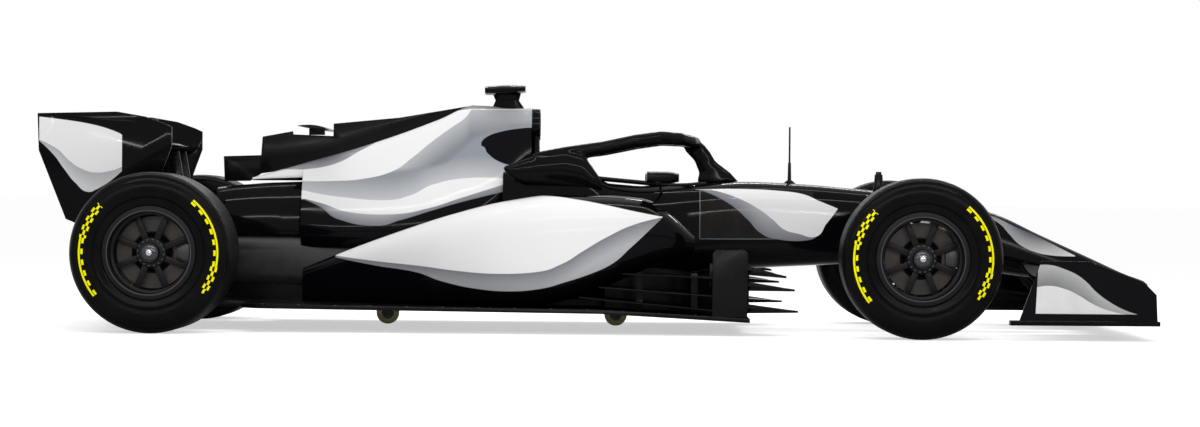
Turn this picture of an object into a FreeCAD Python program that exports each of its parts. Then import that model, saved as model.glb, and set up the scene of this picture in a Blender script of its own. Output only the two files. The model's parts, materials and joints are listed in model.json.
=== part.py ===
import FreeCAD, Part
import math
import os

import Sketcher
from FreeCAD import Placement, Rotation, Vector

# Open wheel racing car.
# X points forward, Y to the driver's left and Z up. The origin is on the ground, under the
# middle of the car's length and width. Lengths are in millimetres.

SIZES = {
    # Overall layout
    "wheelbase": 3200,
    "front_axle_ahead": 1336,
    "nose_overhang": 1079,
    "tail_overhang": 551,
    "half_width": 1000,
    # Tyres and rims
    "tyre_radius": 335,
    "front_tyre_width": 305,
    "rear_tyre_width": 405,
    "tyre_shoulder": 34,
    "tyre_sides": 52,
    "rim_sides": 40,
    "rim_lip_radius": 194,
    "rim_barrel_radius": 180,
    "rim_wall": 8,
    "flange_inset": 12,
    "flange_thickness": 8,
    "dish_depth": 72,
    "spoke_width": 26,
    "spoke_thickness": 16,
    "spoke_count": 8,
    "collar_radius": 65,
    "collar_depth": 34,
    # Hubs, brakes and uprights
    "axle_radius": 22,
    "nut_radius": 37,
    "nut_length": 44,
    "disc_radius": 150,
    "disc_hole_radius": 88,
    "disc_thickness": 28,
    "disc_gap": 22,
    "upright_gap": 10,
    "upright_thickness": 56,
    "upright_length": 90,
    "upright_height": 190,
    "eye_gap": 14,
    "bearing_clearance": 0.05,
    "seat_gap": 0.3,
    "running_gap": 6,
    "steering_arm_length": 100,
    "kingpin_radius": 10,
    "eye_radius": 18,
    "eye_height": 24,
    # Wishbones and rods
    "arm_chord": 46,
    "arm_thickness": 18,
    "rod_radius": 9,
    # Survival cell and cockpit
    "tub_wall": 16,
    "nose_joint_x": 1190,
    "tub_rear_x": -430,
    "cockpit_rear_x": -300,
    "cockpit_front_x": 470,
    "cockpit_half_width": 245,
    "column_radius": 14,
    "column_tilt_deg": 15,
    "grip_radius": 15,
    "wheel_face_width": 270,
    "wheel_face_height": 160,
    # Floor and plank
    "floor_thickness": 18,
    "floor_half_width": 760,
    "plank_half_width": 150,
    "plank_thickness": 10,
    # Engine and gearbox
    "engine_length": 560,
    "engine_width": 300,
    "engine_height": 380,
    "gearbox_half_width": 120,
    "cowl_wall": 8,
    "cowl_hem": 405,
    "cowl_reach": 165,
    "pipe_wall": 4,
    "jack_pad": 60,
    "jack_height": 296,
    # Engine cover
    "cover_wall": 12,
    "cover_hem": 350,
    # Wings
    "front_wing_half_span": 895,
    "front_wing_tyre_gap": 30,
    "wing_plate_thickness": 10,
    "rear_wing_tyre_gap": 95,
    "flap_pin_radius": 6,
    # Bargeboards
    "board_offset": 750,
    "board_thickness": 8,
    "slat_thickness": 5,
    # Casters
    "caster_radius": 50,
    "caster_width": 36,
    "caster_lift": 12,
    "caster_pin_radius": 6,
    "caster_cheek": 6,
    "rear_caster_x": -944,
    "front_caster_x": 66,
}


class Size:
    """A size of the sheet, or a sum or product of sizes, with its formula as text."""

    def __init__(self, value, text):
        self.value = float(value)
        self.text = text

    def join(self, other, sign):
        value, text = (other.value, other.text) if isinstance(other, Size) else (float(other), repr(other))
        results = {
            "+": self.value + value,
            "-": self.value - value,
            "*": self.value * value,
            "/": self.value / value if value else 0.0,
        }
        return Size(results[sign], f"({self.text} {sign} {text})")

    def __add__(self, other):
        return self.join(other, "+")

    def __sub__(self, other):
        return self.join(other, "-")

    def __mul__(self, other):
        return self.join(other, "*")

    def __truediv__(self, other):
        return self.join(other, "/")

    def __neg__(self):
        return self.join(-1, "*")


class Named:
    """Values that are reached by their names."""

    def __init__(self, values):
        self.__dict__.update(values)


doc = FreeCAD.newDocument("RacingCar")
sheet = doc.addObject("Spreadsheet::Sheet", "Sizes")
for row, (alias, number) in enumerate(SIZES.items(), start=1):
    sheet.set(f"A{row}", alias)
    sheet.set(f"B{row}", str(number))
    sheet.setAlias(f"B{row}", alias)
doc.recompute()
mm = Named({alias: float(getattr(sheet, alias)) for alias in SIZES})
cell = Named({alias: Size(getattr(sheet, alias), f"Sizes.{alias}") for alias in SIZES})

RIGHT, LEFT = -1, 1
SIDES = {"right": RIGHT, "left": LEFT}
front_x = mm.front_axle_ahead
rear_x = mm.front_axle_ahead - mm.wheelbase
nose_x = front_x + mm.nose_overhang
tail_x = rear_x - mm.tail_overhang
parts = []


def finish(item, label):
    """Register a finished sub-part under its own label."""
    item.Label = label
    parts.append(item)
    return item


def feature(label, shape, place_at=None):
    """Keep a shape made with Part's own functions as a sub-part."""
    item = doc.addObject("Part::Feature", label)
    item.Shape = shape
    if place_at is not None:
        place(item, *place_at)
    return finish(item, label)


# Sketches and PartDesign bodies


def new_body(label):
    return doc.addObject("PartDesign::Body", label)


def new_sketch(body, name, role, outline, offset=None):
    """Draw a closed outline of Size pairs on an origin plane, each corner tied to the sheet."""
    sketch = body.newObject("Sketcher::SketchObject", name)
    plane = [item for item in body.Origin.OriginFeatures if item.Role == role][0]
    sketch.AttachmentSupport = [(plane, "")]
    sketch.MapMode = "FlatFace"
    count = len(outline)
    spots = [Vector(u.value, v.value, 0) for u, v in outline]
    for k in range(count):
        sketch.addGeometry(Part.LineSegment(spots[k], spots[(k + 1) % count]), False)
    for k in range(count):
        sketch.addConstraint(Sketcher.Constraint("Coincident", k, 2, (k + 1) % count, 1))
    for k, (u, v) in enumerate(outline):
        for kind, measure in (("DistanceX", u), ("DistanceY", v)):
            number = sketch.addConstraint(Sketcher.Constraint(kind, -1, 1, k, 1, measure.value))
            sketch.setExpression(f"Constraints[{number}]", measure.text)
    if offset is not None:
        sketch.AttachmentOffset = Placement(Vector(0, 0, offset.value), Rotation())
        sketch.setExpression("AttachmentOffset.Base.z", offset.text)
    return sketch


def revolve(body, name, outline):
    """Turn an outline of (radius, along Y) corners once round the Y axis."""
    sketch = new_sketch(body, name + "Sketch", "XY_Plane", outline)
    turned = body.newObject("PartDesign::Revolution", name)
    turned.Profile = sketch
    turned.ReferenceAxis = (sketch, ["V_Axis"])
    turned.Angle = 360
    return turned


def pad(body, name, role, outline, thickness, offset):
    """Pad an outline equally both ways from a plane that lies offset along its normal."""
    sketch = new_sketch(body, name + "Sketch", role, outline, offset)
    padded = body.newObject("PartDesign::Pad", name)
    padded.Profile = sketch
    padded.Midplane = True
    padded.Length = thickness.value
    padded.setExpression("Length", thickness.text)
    return padded


def place(body, x, y, z):
    """Put a body at a place given by three Sizes."""
    body.Placement = Placement(Vector(x.value, y.value, z.value), Rotation())
    for axis, measure in (("x", x), ("y", y), ("z", z)):
        body.setExpression(f"Placement.Base.{axis}", measure.text)


# Free form surfaces


def signed_power(value, power):
    return math.copysign(abs(value) ** power, value)


def ring(x, half_width, low, high, power=2.6, crown=1.0, centre=0.0, count=16):
    """The corners of a rounded section across the car. Crown is its top's width over its bottom's."""
    corners = []
    for k in range(count):
        turn = 2 * math.pi * (k + 0.5) / count
        rise = (signed_power(math.sin(turn), 2 / power) + 1) / 2
        reach = signed_power(math.cos(turn), 2 / power) * half_width * (1 + (crown - 1) * rise)
        corners.append(Vector(x, centre + reach, low + (high - low) * rise))
    return corners


def patch(corners):
    """One flat face, or two triangles across the shorter diagonal where it would be warped."""
    a, b, c, d = corners
    normal = (b - a).cross(c - a)
    if abs(normal.dot(d - a)) < 1e-6 * max(normal.Length, 1e-9):
        return [polygon(corners)]
    if (b - d).Length < (a - c).Length - 1e-6:
        return [polygon([a, b, d]), polygon([b, c, d])]
    return [polygon([a, b, c]), polygon([a, c, d])]


def loft(rings):
    """A closed solid through rings of equally many corners, with flat facets between them."""
    faces = [polygon(rings[0]), polygon(rings[-1])]
    for near, far in zip(rings, rings[1:]):
        for k in range(len(near)):
            after = (k + 1) % len(near)
            faces += patch([near[k], near[after], far[after], far[k]])
    return solid_of(faces)


def solid_of(faces):
    solid = Part.makeSolid(Part.makeShell(faces))
    if solid.Volume < 0:
        solid.reverse()
    return solid


def turned(outline, sides):
    """A ring turned about the Y axis from (radius, along Y) corners, with flat facets."""
    stretch = 1 / math.cos(math.pi / sides)

    def corner(k, radius, along):
        turn = 2 * math.pi * (k + 0.5) / sides
        return Vector(radius * stretch * math.cos(turn), along, radius * stretch * math.sin(turn))

    faces = []
    for k in range(sides):
        for (r1, y1), (r2, y2) in zip(outline, outline[1:] + outline[:1]):
            faces.append(polygon([corner(k, r1, y1), corner(k, r2, y2),
                                  corner(k + 1, r2, y2), corner(k + 1, r1, y1)]))
    return solid_of(faces)


def flip(shape):
    """The same shape on the other side of the car."""
    return shape.mirror(Vector(0, 0, 0), Vector(0, 1, 0))


def largest(shape):
    """The main solid of a cut, without the slivers left beside it."""
    return max(shape.Solids, key=lambda solid: solid.Volume)


def both_sides(shape):
    return Part.makeCompound([shape, flip(shape)])


def polygon(points):
    return Part.Face(Part.Wire(Part.makePolygon(list(points) + [points[0]])))


def side_plate(outline, y, thickness):
    """A plate that stands along the car, its outline given as (x, z) corners."""
    face = polygon([Vector(x, y - thickness / 2, z) for x, z in outline])
    return face.extrude(Vector(0, thickness, 0))


def flat_plate(outline, z, thickness):
    """A level plate, its outline given as (x, y) corners."""
    face = polygon([Vector(x, y, z) for x, y in outline])
    return face.extrude(Vector(0, 0, thickness))


def box(x, y, z):
    """A box between two values along each axis."""
    corner = Vector(min(x), min(y), min(z))
    return Part.makeBox(abs(x[1] - x[0]), abs(y[1] - y[0]), abs(z[1] - z[0]), corner)


def rod(start, end, radius, end_radius=None, sides=12):
    """A round rod between two points, with flat facets."""
    along = (end - start).normalize()
    across = along.cross(Vector(0, 1, 0) if abs(along.y) < 0.9 else Vector(1, 0, 0)).normalize()
    other = along.cross(across)
    tip = radius if end_radius is None else end_radius
    return loft([oval(start, across * radius, other * radius, sides),
                 oval(end, across * tip, other * tip, sides)])


def aerofoil(lead, trail, thickness, camber, y, steps=7):
    """A closed wing section at one place across the car, from its two ends (x, z)."""
    chord = Vector(trail[0] - lead[0], 0, trail[1] - lead[1])
    normal = Vector(chord.z, 0, -chord.x).normalize()
    upper, lower = [], []
    for k in range(steps + 1):
        share = 0.5 - 0.5 * math.cos(math.pi * k / steps)
        bow = 4 * camber * share * (1 - share)
        half = thickness * (math.sqrt(share) * (1 - share) * 1.3 + 0.06 * share)
        middle = Vector(lead[0], y, lead[1]) + chord * share
        upper.append(middle + normal * (half - bow))
        lower.append(middle - normal * (half + bow))
    return list(reversed(upper)) + lower[1:]


def wing(lead, trail, thickness, camber, y):
    """A straight wing element between two places across the car."""
    return polygon(aerofoil(lead, trail, thickness, camber, y[0])).extrude(Vector(0, y[1] - y[0], 0))


def oval(middle, u, v, count=12):
    """The corners of an oval about a middle, from its two half axes."""
    turns = [2 * math.pi * (k + 0.5) / count for k in range(count)]
    return [middle + u * math.cos(turn) + v * math.sin(turn) for turn in turns]


def arm(start, end, chord, thickness):
    """A suspension arm with a flattened section that lies along the car."""
    u, v = Vector(chord / 2, 0, 0), Vector(0, 0, thickness / 2)
    return loft([oval(start, u, v), oval(end, u, v)])


# Wheels: a tyre on a deep dished rim with flat spokes, bolted to a hub that carries the disc


def wheel_width(axle):
    return {"front": cell.front_tyre_width, "rear": cell.rear_tyre_width}[axle]


def wheel_place(axle, side):
    width = wheel_width(axle)
    x = cell.front_axle_ahead if axle == "front" else cell.front_axle_ahead - cell.wheelbase
    return x, (cell.half_width - width / 2) * side, cell.tyre_radius


def make_tyre(axle, hand):
    """A slick tyre: beads, bulging walls, rounded shoulders and a flat tread."""
    half = wheel_width(axle).value / 2
    bead = half - mm.flange_inset - mm.flange_thickness - mm.seat_gap
    corner = 1 / math.cos(math.pi / mm.tyre_sides)
    bore = (mm.rim_barrel_radius + mm.seat_gap) * corner
    lip = (mm.rim_lip_radius + mm.seat_gap) * corner
    wall = mm.rim_lip_radius + (mm.tyre_radius - mm.rim_lip_radius) * 0.45
    shoulder = mm.tyre_radius - mm.tyre_shoulder
    right_half = [
        (bore, -bead),
        (lip, -bead),
        (lip + 6, -(half - 8)),
        (wall, -half),
        (shoulder, -(half - 7)),
        (mm.tyre_radius - 8, -(half - 0.55 * mm.tyre_shoulder)),
        (mm.tyre_radius, -(half - 1.3 * mm.tyre_shoulder)),
    ]
    outline = right_half + [(radius, -along) for radius, along in reversed(right_half)]
    carcass = turned(outline, int(mm.tyre_sides))
    return feature(f"{axle}_tyre_{hand}", carcass, wheel_place(axle, SIDES[hand]))


def make_barrel(axle, name):
    """The rim's barrel between its two flanges."""
    outer = wheel_width(axle).value / 2 - mm.flange_inset
    inner = outer - mm.flange_thickness
    well = mm.rim_barrel_radius - mm.rim_wall
    half = [(well, -outer), (mm.rim_lip_radius, -outer),
            (mm.rim_lip_radius, -inner), (mm.rim_barrel_radius, -inner)]
    barrel = doc.addObject("Part::Feature", name)
    barrel.Shape = turned(half + [(radius, -along) for radius, along in reversed(half)], int(mm.rim_sides))
    return barrel


def make_rim(axle, hand):
    """A barrel with flat straight spokes, set deep inside it, round a hub collar."""
    side = SIDES[hand]
    body = new_body(f"{axle}_rim_{hand}")
    body.BaseFeature = make_barrel(axle, f"{axle}_barrel_{hand}")
    doc.recompute()
    face = wheel_width(axle) / 2 - cell.flange_inset - cell.dish_depth
    reach = cell.rim_barrel_radius - cell.rim_wall / 2
    root = cell.axle_radius + 10
    spoke = [
        (root, -cell.spoke_width / 2),
        (reach, -cell.spoke_width / 2),
        (reach, cell.spoke_width / 2),
        (root, cell.spoke_width / 2),
    ]
    middle = (face - cell.spoke_thickness / 2) * -side
    first = pad(body, "Spoke", "XZ_Plane", spoke, cell.spoke_thickness, middle)
    doc.recompute()
    pattern = body.newObject("PartDesign::PolarPattern", "Spokes")
    pattern.Originals = [first]
    pattern.Axis = ([item for item in body.Origin.OriginFeatures if item.Role == "Y_Axis"][0], [""])
    pattern.Angle = 360
    pattern.Occurrences = int(mm.spoke_count)
    pattern.setExpression("Occurrences", "Sizes.spoke_count")
    body.Tip = pattern
    doc.recompute()
    bore = cell.axle_radius + cell.seat_gap
    top = (face + 6) * side
    bottom = (face + 6 - cell.collar_depth) * side
    collar = [(bore, bottom), (cell.collar_radius, bottom), (cell.collar_radius, top), (bore, top)]
    revolve(body, "Collar", collar)
    place(body, *wheel_place(axle, side))
    return finish(body, f"{axle}_rim_{hand}")


def hub_faces(axle):
    """Distances out from the wheel's middle to the collar's two faces and the disc's two faces."""
    outer_face = wheel_width(axle) / 2 - cell.flange_inset - cell.dish_depth + 6
    inner_face = outer_face - cell.collar_depth
    disc_outer = inner_face - cell.disc_gap
    disc_inner = disc_outer - cell.disc_thickness
    return outer_face, inner_face, disc_outer, disc_inner


def make_hub(axle, hand):
    """Axle, wheel nut, disc bell and brake disc, with the driveshaft on a rear wheel."""
    side = SIDES[hand]
    outer_face, inner_face, disc_outer, disc_inner = hub_faces(axle)
    body = new_body(f"{axle}_hub_{hand}")
    if axle == "front":
        end = disc_inner - cell.upright_gap - cell.upright_thickness + 2
    else:
        end = cell.gearbox_half_width - 40 - (cell.half_width - wheel_width(axle) / 2)
    centre = cell.axle_radius * 0
    gap = cell.seat_gap
    profile = [
        (centre, end),
        (cell.axle_radius, end),
        (cell.axle_radius, disc_inner),
        (cell.disc_radius, disc_inner),
        (cell.disc_radius, disc_outer),
        (cell.disc_hole_radius, disc_outer),
        (cell.collar_radius, inner_face - gap),
        (cell.axle_radius, inner_face - gap),
        (cell.axle_radius, outer_face + gap),
        (cell.nut_radius, outer_face + gap),
        (cell.nut_radius, outer_face + cell.nut_length * 0.4),
        (cell.nut_radius * 0.62, outer_face + cell.nut_length * 0.86),
        (centre, outer_face + cell.nut_length),
    ]
    revolve(body, "Turned", [(radius, along * side) for radius, along in profile])
    place(body, *wheel_place(axle, side))
    return finish(body, f"{axle}_hub_{hand}")


for axle_name in ("front", "rear"):
    for hand_name in SIDES:
        make_tyre(axle_name, hand_name)
        make_rim(axle_name, hand_name)
        make_hub(axle_name, hand_name)


# Uprights, with the bearing bore, kingpins, caliper and, in front, the steering arm


def upright_span(axle):
    """The upright's outer and inner faces, as distances from the car's middle."""
    disc_inner = hub_faces(axle)[3]
    outer = mm.half_width - wheel_width(axle).value / 2 + disc_inner.value - mm.upright_gap
    return outer, outer - mm.upright_thickness


def kingpin_y(axle):
    outer, inner = upright_span(axle)
    return (outer + inner) / 2


def make_caliper(axle, x, side):
    """A brake caliper that straddles the disc ahead of the axle, with a running gap all round."""
    outer = mm.half_width - wheel_width(axle).value / 2 + hub_faces(axle)[2].value + mm.running_gap
    inner = outer - 2 * mm.running_gap - mm.disc_thickness
    upright_inner = upright_span(axle)[1]
    width = 70
    low, high = mm.disc_hole_radius + 14, mm.disc_radius + mm.running_gap
    block = box((low, high + 12), (side * (upright_inner + 10), side * (outer + 10)), (-width / 2, width / 2))
    slot = Part.makeCylinder(high, outer - inner, Vector(0, min(side * inner, side * outer), 0),
                             Vector(0, 1, 0))
    caliper = block.cut(slot)
    caliper.translate(Vector(x, 0, mm.tyre_radius))
    return caliper


def make_upright(axle, side):
    x = front_x if axle == "front" else rear_x
    outer, inner = upright_span(axle)
    middle = (outer + inner) / 2
    half_x = mm.upright_length / 2
    half_z = mm.upright_height / 2
    post = box((x - half_x, x + half_x), (side * inner, side * outer),
               (mm.tyre_radius - half_z, mm.tyre_radius + half_z))
    link = box((x + half_x - 1, x + mm.disc_hole_radius + 30), (side * inner, side * outer),
               (mm.tyre_radius - 30, mm.tyre_radius + 30))
    solid = post.fuse([link, make_caliper(axle, x, side)])
    pin_reach = half_z + mm.eye_gap + mm.eye_height + 2
    pins = Part.makeCylinder(mm.kingpin_radius, 2 * pin_reach,
                             Vector(x, side * middle, mm.tyre_radius - pin_reach))
    solid = solid.fuse(pins)
    if axle == "front":
        back = x - mm.steering_arm_length
        lever = box((back - 14, x - half_x + 1), (side * (middle - 14), side * (middle + 14)),
                    (mm.tyre_radius - 12, mm.tyre_radius + 12))
        peg = Part.makeCylinder(mm.kingpin_radius, 40, Vector(back, side * middle, mm.tyre_radius + 11))
        solid = solid.fuse([lever, peg])
    bore = mm.axle_radius + mm.bearing_clearance
    near = min(side * inner, side * outer)
    hole = Part.makeCylinder(bore, mm.upright_thickness + 2, Vector(x, near - 1, mm.tyre_radius), Vector(0, 1, 0))
    return solid.cut(hole).removeSplitter()


feature("front_upright_right", make_upright("front", RIGHT))
feature("front_upright_left", make_upright("front", LEFT))
feature("rear_uprights", Part.makeCompound([make_upright("rear", RIGHT), make_upright("rear", LEFT)]))


# Wishbones: two arms from the car's side to one eye round the upright's kingpin


def eye(x, y, z, pin_radius, clearance):
    outer = Part.makeCylinder(mm.eye_radius, mm.eye_height, Vector(x, y, z - mm.eye_height / 2))
    inner = Part.makeCylinder(pin_radius + clearance, mm.eye_height + 2,
                              Vector(x, y, z - mm.eye_height / 2 - 1))
    return outer, inner


def make_wishbone(axle, level, root_y, root_z, root_ahead, root_behind):
    """One wishbone of the left side. Level is +1 for the upper and -1 for the lower one."""
    x = front_x if axle == "front" else rear_x
    y = kingpin_y(axle)
    z = mm.tyre_radius + level * (mm.upright_height / 2 + mm.eye_gap + mm.eye_height / 2)
    outer, inner = eye(x, y, z, mm.kingpin_radius, mm.bearing_clearance)
    ball = Vector(x, y, z)
    ahead = arm(Vector(x + root_ahead, root_y, root_z), ball, mm.arm_chord, mm.arm_thickness)
    behind = arm(Vector(x - root_behind, root_y, root_z), ball, mm.arm_chord, mm.arm_thickness)
    return outer.fuse([ahead, behind]).cut(inner)


# Survival cell: a tapering shell with an open cockpit and a dash bulkhead for the column

# One row a station: x, half width, low, high, crown
TUB_STATIONS = [
    (mm.tub_rear_x, 300, 128, 730, 0.80),
    (-300, 330, 128, 772, 0.82),
    (-180, 345, 128, 770, 0.84),
    (-60, 350, 128, 742, 0.86),
    (30, 345, 128, 668, 0.90),
    (200, 325, 150, 645, 0.92),
    (400, 262, 240, 645, 0.92),
    (640, 212, 270, 655, 0.90),
    (880, 190, 284, 646, 0.86),
    (mm.nose_joint_x, 160, 300, 620, 0.84),
]


def tub_ring(row, inset):
    x, half, low, high, crown = row
    return ring(x, half - inset, low + inset, high - inset, power=4.0, crown=crown, count=20)


def cockpit_outline(front, half_front, half_rear):
    """The plan of the cockpit opening: a rounded front, straight sides and a square rear."""
    nose = Part.Arc(Vector(front - half_front, half_front, 0), Vector(front, 0, 0),
                    Vector(front - half_front, -half_front, 0))
    rear = mm.cockpit_rear_x
    near_side = [(front - half_front, -half_front), (0, -half_rear), (rear, -half_rear)]
    far_side = [(x, -y) for x, y in reversed(near_side)]
    straight = [Vector(x, y, 0) for x, y in near_side + far_side]
    edges = [nose.toShape()]
    edges += [Part.LineSegment(a, b).toShape() for a, b in zip(straight, straight[1:])]
    return Part.Face(Part.Wire(edges))


def column_line():
    """A point on the steering column's axis and its direction towards the driver."""
    tilt = math.radians(mm.column_tilt_deg)
    towards = Vector(-math.cos(tilt), 0, math.sin(tilt))
    return Vector(dash_x, 0, dash_z), towards


dash_x = mm.cockpit_front_x + 40
dash_z = 520


def cavity(inset):
    """The hollow inside the survival cell, drawn in from its outer skin."""
    inner_rows = [(-330, 320, 128, 772, 0.82)] + TUB_STATIONS[2:-1]
    inner_rows.append((mm.nose_joint_x - mm.tub_wall, 160, 300, 622, 0.84))
    return loft([tub_ring(row, inset) for row in inner_rows])


def make_monocoque():
    outside = loft([tub_ring(row, 0) for row in TUB_STATIONS])
    inside = cavity(mm.tub_wall)
    opening = cockpit_outline(mm.cockpit_front_x, 170, mm.cockpit_half_width)
    opening.translate(Vector(0, 0, 560))
    opening = opening.extrude(Vector(0, 0, 400))
    shell = outside.cut(inside).cut(opening)
    dash = box((dash_x - 12, dash_x + 12), (-400, 400), (430, 700)).common(outside)
    shell = shell.fuse(dash)
    point, towards = column_line()
    bore = Part.makeCylinder(mm.column_radius + mm.bearing_clearance, 120, point - towards * 60, towards)
    return shell.cut(bore)


feature("monocoque", make_monocoque())
clear_tub = loft([tub_ring(row, -mm.seat_gap) for row in TUB_STATIONS])


def make_steering_wheel():
    """A flat racing wheel with two side grips on its column."""
    point, towards = column_line()
    across = Vector(0, 1, 0)
    half = mm.wheel_face_width / 2
    high = mm.wheel_face_height / 2
    plate = box((-14, 14), (-half + 20, half - 20), (-high * 0.72, high * 0.55))
    grips = [Part.makeCylinder(mm.grip_radius, 1.3 * high,
                               Vector(0, side * (half - mm.grip_radius), -high * 0.72))
             for side in (RIGHT, LEFT)]
    hub = Part.makeCylinder(32, 46, Vector(0, 0, 0), Vector(1, 0, 0))
    face = plate.fuse(grips + [hub])
    face.rotate(Vector(0, 0, 0), across, mm.column_tilt_deg)
    face.translate(point + towards * 210)
    column = Part.makeCylinder(mm.column_radius, 245, point - towards * 55, towards)
    return face.fuse(column).removeSplitter()


feature("steering_wheel", make_steering_wheel())


def make_seat():
    """A reclined bucket shell: a base, a back and two side walls."""
    back_line = [(40, 150), (140, 150), (160, 168), (-150, 176), (-262, 640), (-280, 640), (-170, 150)]
    shell = side_plate(back_line, 0, 360)
    walls = side_plate([(-60, 176), (-190, 176), (-262, 560), (-215, 560), (-110, 300)], 0, 360)
    hollow = side_plate([(160, 177), (-60, 177), (-265, 620), (160, 620)], 0, 320)
    return shell.fuse(walls.cut(hollow)).common(cavity(mm.tub_wall + mm.seat_gap))


feature("seat", make_seat())


def make_headrest():
    """The padded surround at the cockpit's rear, a U seen from above."""
    rear = mm.cockpit_rear_x + mm.seat_gap
    half = mm.cockpit_half_width - mm.seat_gap
    pad_block = box((rear, rear + 260), (-half, half), (645, 725))
    gap = box((rear + 50, rear + 300), (-half + 62, half - 62), (600, 800))
    padded = pad_block.cut(gap)
    return padded


feature("headrest", make_headrest())


# Halo: an oval tube from both shoulders round to a pillar on the cockpit's centre line

# Points of the left tube's middle: x, y, z, half height
HALO_PATH = [
    (-290, 287, 748, 26),
    (-160, 282, 772, 28),
    (10, 264, 796, 30),
    (150, 242, 826, 31),
    (260, 205, 842, 31),
    (345, 140, 838, 30),
    (395, 70, 828, 29),
    (415, 0, 824, 29),
]


# The fairing under each rear end: x, half width, low, high
HALO_SHOULDER = [
    (-425, 12, 690, 712),
    (-350, 24, 640, 744),
    (-270, 32, 630, 770),
    (-160, 34, 620, 792),
    (-80, 28, 610, 770),
    (-30, 20, 600, 700),
    (5, 9, 600, 652),
]

# The pillar on the centre line, from its foot up: x, half length, half width, z
HALO_PILLAR = [
    (520, 104, 22, 640),
    (500, 74, 17, 694),
    (456, 50, 14, 745),
    (425, 58, 15, 785),
    (400, 52, 16, 822),
]


def halo_section(row, direction):
    x, y, z, half = row
    across = Vector(direction.y, -direction.x, 0).normalize()
    upward = across.cross(direction).normalize()
    return oval(Vector(x, y, z), across * half * 0.8, upward * half)


def flip_point(point):
    return Vector(point.x, -point.y, point.z)


def make_halo():
    points = [Vector(*row[:3]) for row in HALO_PATH]
    rings = []
    for k, row in enumerate(HALO_PATH):
        before = points[max(k - 1, 0)]
        after = points[k + 1] if k + 1 < len(points) else flip_point(points[k - 1])
        rings.append(halo_section(row, after - before))
    shoulder = loft([oval(Vector(x, HALO_PATH[0][1], (low + high) / 2), Vector(0, half_y, 0),
                          Vector(0, 0, (high - low) / 2)) for x, half_y, low, high in HALO_SHOULDER])
    pillar = loft([ring_level(x, 0, half_x, half_y, z) for x, half_x, half_y, z in HALO_PILLAR])
    half = loft(rings).fuse(shoulder)
    return half.fuse([flip(half), pillar]).cut(clear_tub)


def ring_level(x, y, half_x, half_y, z):
    """A level oval."""
    return oval(Vector(x, y, z), Vector(half_x, 0, 0), Vector(0, half_y, 0))


feature("halo", make_halo())


# Nose cone with two short pylons down to the front wing. The wing fills the room from the front
# tyres to the nose's tip.

NOSE_REACH = 1225
WING_REACH = 714
wing_rear = front_x + mm.tyre_radius + mm.front_wing_tyre_gap


def along_nose(ahead):
    """X of a point ahead of the nose's joint, on a nose drawn NOSE_REACH long."""
    return mm.nose_joint_x + ahead * (nose_x - mm.nose_joint_x) / NOSE_REACH


def along_wing(*outline):
    """Points ahead of the front wing's rear edge, drawn WING_REACH long to the nose's tip."""
    return [(wing_rear + ahead * (nose_x - wing_rear) / WING_REACH, other) for ahead, other in outline]


NOSE_STATIONS = [
    (mm.nose_joint_x + mm.seat_gap, 160, 300, 620, 0.84),
    (along_nose(146), 150, 292, 604, 0.82),
    (along_nose(310), 138, 284, 580, 0.80),
    (along_nose(539), 120, 262, 525, 0.78),
    (along_nose(752), 104, 236, 429, 0.78),
    (along_nose(974), 88, 214, 329, 0.80),
    (along_nose(1140), 74, 196, 255, 0.85),
    (nose_x, 52, 182, 222, 0.90),
]


def nose_solid(grow):
    return loft([ring(x, half + grow, low - grow, high + grow, power=3.2, crown=crown)
                 for x, half, low, high, crown in NOSE_STATIONS])


def front_wing_plane(grow):
    half = mm.front_wing_half_span - mm.wing_plate_thickness / 2 - mm.seat_gap
    lead, trail = along_wing((617, 92), (409, 96))
    return wing(lead, trail, 26 + 2 * grow, 6, (-half, half))


def make_nose():
    pylons = []
    outline = along_wing((359, 262), (529, 240), (569, 84), (429, 84))
    for side in (RIGHT, LEFT):
        pylons.append(side_plate(outline, side * 56, 12))
    return largest(nose_solid(0).fuse([pylon.cut(front_wing_plane(mm.seat_gap)) for pylon in pylons]))


feature("nose_cone", make_nose())


# Front wing: main plane, cascade flaps and end plates

WING_FLAPS = [
    ((427, 108), (289, 158)),
    ((307, 172), (195, 232)),
    ((211, 246), (137, 306)),
]


feature("front_wing_main", front_wing_plane(0))


def make_front_wing_flaps():
    outer = mm.front_wing_half_span - mm.wing_plate_thickness / 2 - mm.seat_gap
    flaps = [wing(*along_wing(lead, trail), 12, 8, (240, outer)) for lead, trail in WING_FLAPS]
    root = side_plate(along_wing((449, 106), (419, 130), (289, 176), (149, 318), (125, 300), (259, 140),
                                 (379, 106)), 236, 8)
    left = root.fuse(flaps)
    return both_sides(left)


feature("front_wing_flaps", make_front_wing_flaps())


def make_front_wing_endplates():
    outline = along_wing((134, 331), (333, 330), (558, 247), (612, 193), (617, 84), (44, 84))
    plate = side_plate(outline, mm.front_wing_half_span, mm.wing_plate_thickness)
    foot = flat_plate(along_wing((0, 895), (621, 895), (621, 945), (0, 960)), 64, 20)
    return both_sides(plate.fuse(foot))


feature("front_wing_endplates", make_front_wing_endplates())


# Floor, plank and diffuser

FLOOR_LINE = [(632, 57), (420, 68), (2, 89), (-839, 95), (rear_x + 352, 102)]


def floor_low(x):
    """Height of the floor's underside at one station."""
    for (x1, z1), (x2, z2) in zip(FLOOR_LINE, FLOOR_LINE[1:]):
        if x2 <= x <= x1:
            return z1 + (z2 - z1) * (x - x1) / (x2 - x1)
    return FLOOR_LINE[0][1] if x > FLOOR_LINE[0][0] else FLOOR_LINE[-1][1]


def under_layer(drop, thickness, half):
    """A layer that follows the floor's underside."""
    line = [(x, z - drop) for x, z in FLOOR_LINE]
    back = [(x, z - drop + thickness) for x, z in reversed(FLOOR_LINE)]
    return side_plate(line + back, 0, 2 * half)


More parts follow.
